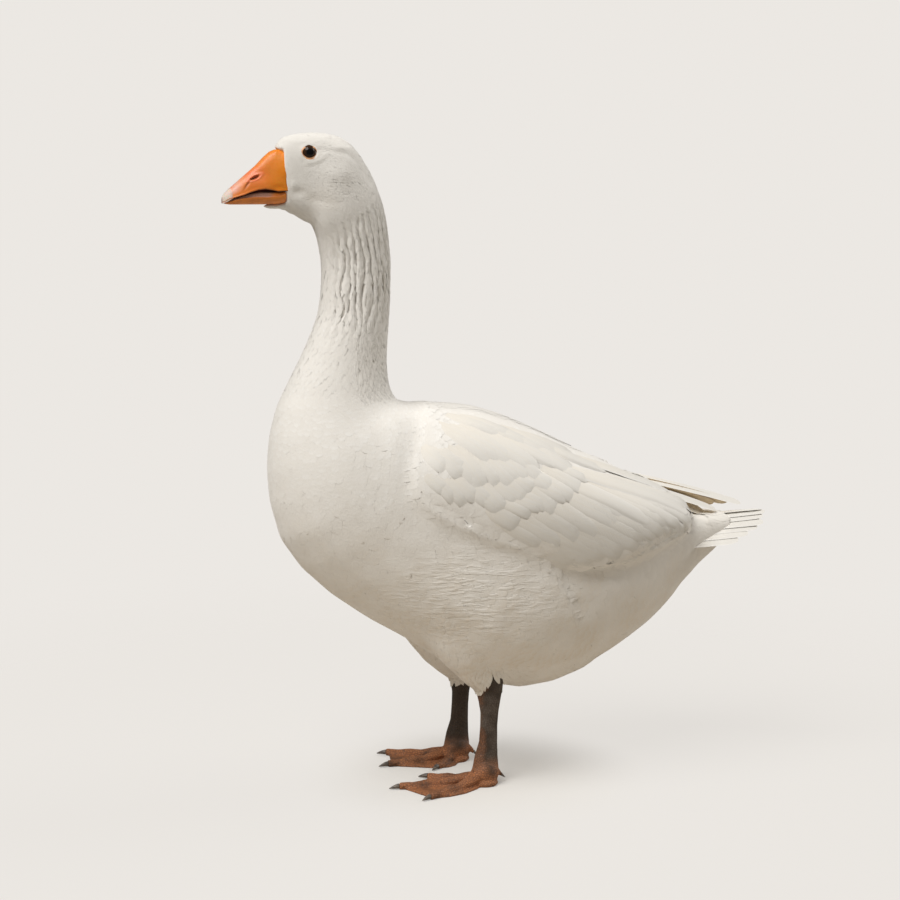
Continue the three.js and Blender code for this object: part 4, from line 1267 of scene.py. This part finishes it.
def makeUpperBill():
    plan = billPlan
    along = np.linspace(0, 1, plan["rows"]) ** 0.85
    x = (plan["rear"] + (plan["tip"] - plan["rear"]) * along)[:, None]
    a = np.linspace(0, math.pi, plan["columns"])[None]
    top, rim, width = billAt(x, "culmen"), billAt(x, "rim"), billAt(x, "width")
    high = top - rim
    rise = np.sin(a) ** 1.15
    y = -width * bowed(a, 0.62 - 0.14 * ramp(x, -300, -240))
    z = rim + high * rise
    gap = np.hypot(*turned(x, z, nostril))
    slit, ring = 1 - ramp(gap, 0.55, 1.05), bell(gap, 1.45, 0.4)
    p, q = turned(x, z, groove)
    furrow = bell(q, 0, 1) * bell(p, 0, 1)
    out = nostril["ring"] * ring - nostril["deep"] * slit - groove["deep"] * furrow
    for proud, (midX, reachX), (midZ, reachZ) in billBumps:
        out += proud * bell(x, midX, reachX) * bell(z, midZ, reachZ)
    out += 1.9 * bell(z, 649, 13) * ramp(x, -254, -239)  # fuller by the face
    grain = np.stack([x + 0 * a, y, z], -1).reshape(-1, 3) * mm * [1, 1, 0.6]
    wrinkle = latticeNoise(grain, 3.2, 21).reshape(z.shape)
    out += 0.16 * wrinkle * (0.3 + 0.7 * ramp(x, -262, -238))
    out += 0.45 * bell(rise, 0.05, 0.05)  # the lip
    y = y * (1 + out / np.maximum(np.abs(y), 3.5) * np.minimum(np.abs(y) / 3.5, 1))
    lobe = 3.4 * bell(z, 629.8, 2.6) * ramp(x, -246, -238)
    lobe = lobe - 0.9 * bell(z, 660, 7) * ramp(x, -242, -238)
    ragged = latticeNoise(np.stack([0 * z, y, z], -1).reshape(-1, 3) * mm, 1.8, 22).reshape(z.shape)
    front = x + lobe + 0.35 * ragged * ramp(x, -241, -238)
    outer = np.stack([front, y, z], -1)
    wall = plan["wall"]
    innerZ = rim + (z - rim) * np.maximum(1 - 1.6 * wall / high, 0.3)
    inner = np.stack([front, y * np.maximum(1 - wall / width, 0.3), innerZ], -1)
    pink = bell(x - 0.3 * (z - 628), -290, 5.5) * ramp(z - rim, 1.5, 7)
    red = np.clip(bell(x, -272, 11) * bell(z, 645, 9) + 0.6 * ring, 0, 1)
    # painted shade: dark in the nostril's slit, the groove and the lip's lower edge
    dark = np.clip(slit + 0.55 * furrow + 0.7 * (1 - ramp(z - rim, 0.2, 1.3)), 0, 1)
    piece = solidSheet("billUpper", outer, inner, np.stack([pink, red, dark], -1), billFinish, "bill")
    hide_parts("bill_upper")


def makeNail():
    rows, columns = 40, 49
    tip = -301.5
    share = np.linspace(0, 1, rows)[:, None]
    a = np.linspace(0, math.pi, columns)[None]
    rear = -290.5 - 1.8 * np.sin(a) ** 2
    x = rear + (tip - rear) * share ** 0.8
    top, rim, width = billAt(x, "culmen"), billAt(x, "nailRim"), billAt(x, "width")
    proud = 0.45 * ramp(share, 0, 0.12) - 0.15
    y = -(width + proud) * bowed(a, 0.62)
    z = rim + (top - rim + proud) * np.sin(a) ** 1.05
    outer = np.stack([np.maximum(x, tip), y, z], -1)
    inner = np.stack([outer[..., 0], y * 0.8, rim + (z - rim) * 0.82], -1)
    root = 1 - ramp(share, 0, 0.3)
    field = np.stack([root + 0 * a, (1 - ramp(z - rim, 0, 4)), 0 * z], -1)
    piece = solidSheet("billNail", outer, inner, field, nailFinish, "nail")
    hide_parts("bill_nail")


def makeLowerBill():
    plan = billPlan
    along = np.linspace(0, 1, plan["rows"]) ** 0.9
    x = (plan["rear"] + (plan["lowerTip"] - plan["rear"]) * along)[:, None]
    width = billAt(x, "width") - 1.2
    edge, keel, strip = billAt(x, "lowerEdge"), billAt(x, "keel"), billAt(x, "strip")
    ridges = 0.3 * np.abs(np.sin(math.pi * x / 1.15)) * ramp(strip - edge, 0.5, 2)
    a = np.linspace(0, math.pi / 2, 24)[None]
    wallZ = keel + (edge - keel) * (1 - np.sin(a) ** 1.3)
    side = np.stack([x + 0 * a, width * np.cos(a) ** 0.55, wallZ], -1)
    comb = []
    for inset, up in plan["comb"]:
        reach = np.maximum(width - inset + ridges * (0.1 < up < 0.99), 0.4)
        comb.append(np.concatenate([x, reach, edge + (strip - edge) * up], 1))
    half = np.concatenate([np.stack(comb, 1), side], 1)
    other = half[:, ::-1] * [1, -1, 1]
    outer = np.concatenate([half, other[:, 1:]], 1)
    inner = outer.copy()
    inner[..., 1] *= np.maximum(1 - 3.4 / width, 0.15)
    inner[..., 2] = np.minimum(inner[..., 2], strip - 0.6) * 0.75 + (strip - 1.2) * 0.25
    isComb = np.zeros(outer.shape[1])
    isComb[:6] = 1
    isComb[-6:] = 1
    isComb = isComb * (1 - ramp(x, -257, -247))
    # the line along the gape that the material paints as shade
    line = bell(outer[..., 2], edge, 0.5) * (1 - isComb)
    field = np.stack([isComb, line, 0 * line], -1)
    piece = solidSheet("billLower", outer, inner, field, lowerBillFinish, "bill")
    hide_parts("bill_lower")


def makeMouth():  # the floor of the mouth between the two halves, dark with painted shade
    x = np.linspace(-239, -288, 40)[:, None]
    s = np.linspace(-1, 1, 15)[None]
    width = np.maximum(billAt(x, "width") - 3.6, 0.8)
    z = billAt(x, "strip") - 0.6 + 5.0 * (1 - s ** 4) * ramp(x, -293, -280)
    outer = np.stack([x + 0 * s, width * s, z], -1)
    solidSheet("mouthFloor", outer, outer - [0, 0, 3.5], 0 * outer, shadedMouthFinish, "bill")


makeUpperBill()
makeNail()
makeLowerBill()
makeMouth()
print("bill")

# Eyes: a dark globe set into the head, with a beaded lid round its opening.
eyePlan = {
    "globe": 7.9,  # radius of the globe
    "bulge": 0.35,  # how far its front stands out of that
    "depth": 14.3,  # how far its middle lies from the middle of the head
    "oval": (1.21, 0.9),  # how the lid is stretched along and up
    "corner": 0.04,  # further reach of its rear corner
    "lid": [  # distance from the middle of the eye, and how far out of the skin (1) or globe (0)
        (9.6, 1.0, -0.7), (9.0, 1.0, -0.1), (8.4, 1.0, 0.15), (8.0, 0.85, 0.3), (7.6, 0.65, 0.55),
        (7.1, 0.45, 0.65), (6.6, 0.25, 0.5), (6.1, 0.08, 0.3), (5.8, 0.0, 0.05), (5.6, 0.0, -0.8)],
    "around": 132,  # points round the lid
    "beads": 44,
    "beadSpan": (6.2, 7.7),  # rows of the lid that carry them
    "beadHeight": 0.16,
}


def tube(name, places, field, finish, slot, fill=False):  # rings of points joined round
    return pieceFrom(name, places * mm, ringQuads(*places.shape[:2]), field, finish, slot, fill=fill)


def makeGlobe(side):
    plan = eyePlan
    ex, _, ez = eyePlace
    polar = np.linspace(0.02, 1.9, 40)[:, None]
    turn = np.linspace(0, 2 * math.pi, 64, endpoint=False)[None]
    radius = plan["globe"] + plan["bulge"] * bell(polar, 0, 0.5)
    ring = radius * np.sin(polar)
    out = sides[side] * (plan["depth"] + radius * np.cos(polar) + 0 * turn)
    globe = np.stack([ex + ring * np.cos(turn), out, ez + ring * np.sin(turn)], -1)
    field = np.stack([polar + 0 * turn, turn + 0 * polar, 0 * out], -1)
    piece = tube(f"eye_{side}_globe", globe, field, eyeFinish, "eye", fill=True)
    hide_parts(f"eye_{side}")


def makeLid(side):
    way = sides[side]
    plan = eyePlan
    ex, _, ez = eyePlace
    count = plan["around"]
    angle = np.linspace(0, 2 * math.pi, count, endpoint=False)
    ovalX = (plan["oval"][0] + plan["corner"] * np.maximum(np.cos(angle), 0) ** 6) * np.cos(angle)
    ovalZ = plan["oval"][1] * np.sin(angle)
    skinAt = []
    for x, z in zip(ex + 9.2 * ovalX, ez + 9.2 * ovalZ):
        hit = skinTree.ray_cast(Vector((x * mm, way * 0.06, z * mm)), Vector((0, -way, 0)))[0]
        skinAt.append(abs(hit[1]) / mm)
    skinAt = sum(np.roll(skinAt, k) for k in range(-6, 7)) / 13
    rows, marks = [], []
    for reach, share, lift in plan["lid"]:
        globeAt = plan["depth"] + math.sqrt(max(plan["globe"] ** 2 - min(reach, 7.8) ** 2, 0))
        level = globeAt + (skinAt - globeAt) * share + lift
        if plan["beadSpan"][0] < reach < plan["beadSpan"][1]:
            level = level + plan["beadHeight"] * np.abs(np.sin(angle * plan["beads"] / 2))
        rows.append(np.stack([ex + reach * ovalX, way * level, ez + reach * ovalZ], 1))
        marks.append(np.stack([np.full(count, reach), angle, np.full(count, share)], 1))
    tube(f"eye_{side}_lid", np.array(rows), np.array(marks), lidFinish, "leg")


for side in sides:
    makeGlobe(side)
    makeLid(side)
print("eyes")


clawPlan = {"swell": 0.12, "voxel": 0.4, "rounds": 5}


def makeClaw(node):
    mesh = joined([node], clawPlan["swell"])
    mesh = modified(mesh, "REMESH", mode="VOXEL", voxel_size=clawPlan["voxel"] * mm)
    mesh = modified(mesh, "SMOOTH", factor=0.5, iterations=clawPlan["rounds"])
    piece = shown(node + "_horn", mesh, "claw", clawFinish)
    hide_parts(node)


for side in sides:
    for toe in ("inner", "middle", "outer", "hind"):
        makeClaw(f"claw_{toe}_{side}")
print("claws")

# Floor, light and camera, in metres apart from the points in "fade" and "near".
studio = {
    "background": colour(0.836, 0.806, 0.768),
    "floor": colour(0.115, 0.113, 0.109),
    "glow": colour(0.703, 0.677, 0.645),  # the floor's own share of the backdrop's brightness
    "floorNear": colour(0.55, 0.54, 0.52),  # the same close to the feet, where shadows are deeper
    "glowNear": colour(0.20, 0.193, 0.184),
    "bounce": colour(0.55, 0.495, 0.42),  # the floor as it lights the goose
    "ambient": colour(0.225, 0.21, 0.185),
    "fade": ((-60, 0, 0), 0.55, 1.1),  # from where, and between which distances the floor melts away
    "near": ((-40, -20, 0), 0.05, 0.2),  # the same for the deeper floor near the feet
    "radius": 1.6,
}
lampTint = (1.0, 0.985, 0.965)
lamps = {  # where it stands, where it shines, its width and its watts
    "key": ((-3.2, -2.0, 5.5), (0, 0, 0.35), 4.6, 398),
    "rear": ((4.4, 0.7, 3.0), (0, 0, 0.4), 3.0, 105),
}
cameraPlan = {
    "from": (-0.6246, -2.1017, 0.6782),
    "at": (-0.0615, 0.0, 0.353),
    "lens": 82.64,
}


def lookAt(thing, place, aim):
    thing.location = place
    thing.rotation_euler = (Vector(aim) - Vector(place)).to_track_quat("-Z", "Y").to_euler()
    bpy.context.scene.collection.objects.link(thing)


def addLamp(name, place, aim, size, watts):
    data = bpy.data.lights.new(name, "AREA")
    data.shape = "DISK"
    data.size = size
    data.energy = watts
    data.color = lampTint
    lookAt(bpy.data.objects.new(name, data), place, aim)


def makeStage():
    mesh = bpy.data.meshes.new("floor")
    ring = bmesh.new()
    bmesh.ops.create_circle(ring, cap_ends=True, segments=96, radius=studio["radius"])
    ring.to_mesh(mesh)
    ring.free()
    floor = bpy.data.objects.new("floor", mesh)
    bpy.context.scene.collection.objects.link(floor)
    material = bpy.data.materials.new("floor")
    material.use_nodes = True
    tree = material.node_tree
    shader = tree.nodes["Principled BSDF"]
    shader.inputs["Roughness"].default_value = 0.9
    shader.inputs["Specular IOR Level"].default_value = 0.0
    shader.inputs["Emission Strength"].default_value = 1.0
    start = Wire(tree)
    place = start.make("ShaderNodeTexCoord", output="Object")
    (middle, *fadeSpan), (feet, *nearSpan) = studio["fade"], studio["near"]
    fade = place.away(middle).span(*fadeSpan)
    apart = place.away(feet).span(*nearSpan)
    for socket, tint in (("Base Color", "floor"), ("Emission Color", "glow")):
        tree.links.new(apart.blend(studio[tint + "Near"], studio[tint]).socket, shader.inputs[socket])
    through = start.make("ShaderNodeBsdfTransparent")
    plain = start.make("ShaderNodeBsdfDiffuse", None, {"Color": studio["bounce"]})
    seen = start.make("ShaderNodeLightPath")
    lit = start.make("ShaderNodeMixShader", None, {0: seen, 1: plain, 2: Wire(tree, shader.outputs[0])})
    mix = start.make("ShaderNodeMixShader", None, {0: fade, 1: lit, 2: through})
    tree.links.new(mix.socket, tree.nodes["Material Output"].inputs["Surface"])
    mesh.materials.append(material)


def makeWorld():
    world = bpy.data.worlds.new("studio")
    world.use_nodes = True
    background = world.node_tree.nodes["Background"]
    start = Wire(world.node_tree)
    seen = start.make("ShaderNodeLightPath")  # the backdrop as seen, and dimmer as light on the goose
    tint = seen.blend(studio["ambient"], studio["background"])
    world.node_tree.links.new(tint.socket, background.inputs["Color"])
    bpy.context.scene.world = world


def makeCamera():
    data = bpy.data.cameras.new("camera")
    data.lens = cameraPlan["lens"]
    data.sensor_width = 36
    camera = bpy.data.objects.new("camera", data)
    lookAt(camera, cameraPlan["from"], cameraPlan["at"])
    bpy.context.scene.camera = camera


makeStage()
makeWorld()
makeCamera()
for name, values in lamps.items():
    addLamp(name, *values)
bpy.context.scene.view_settings.view_transform = "Standard"

print("done")
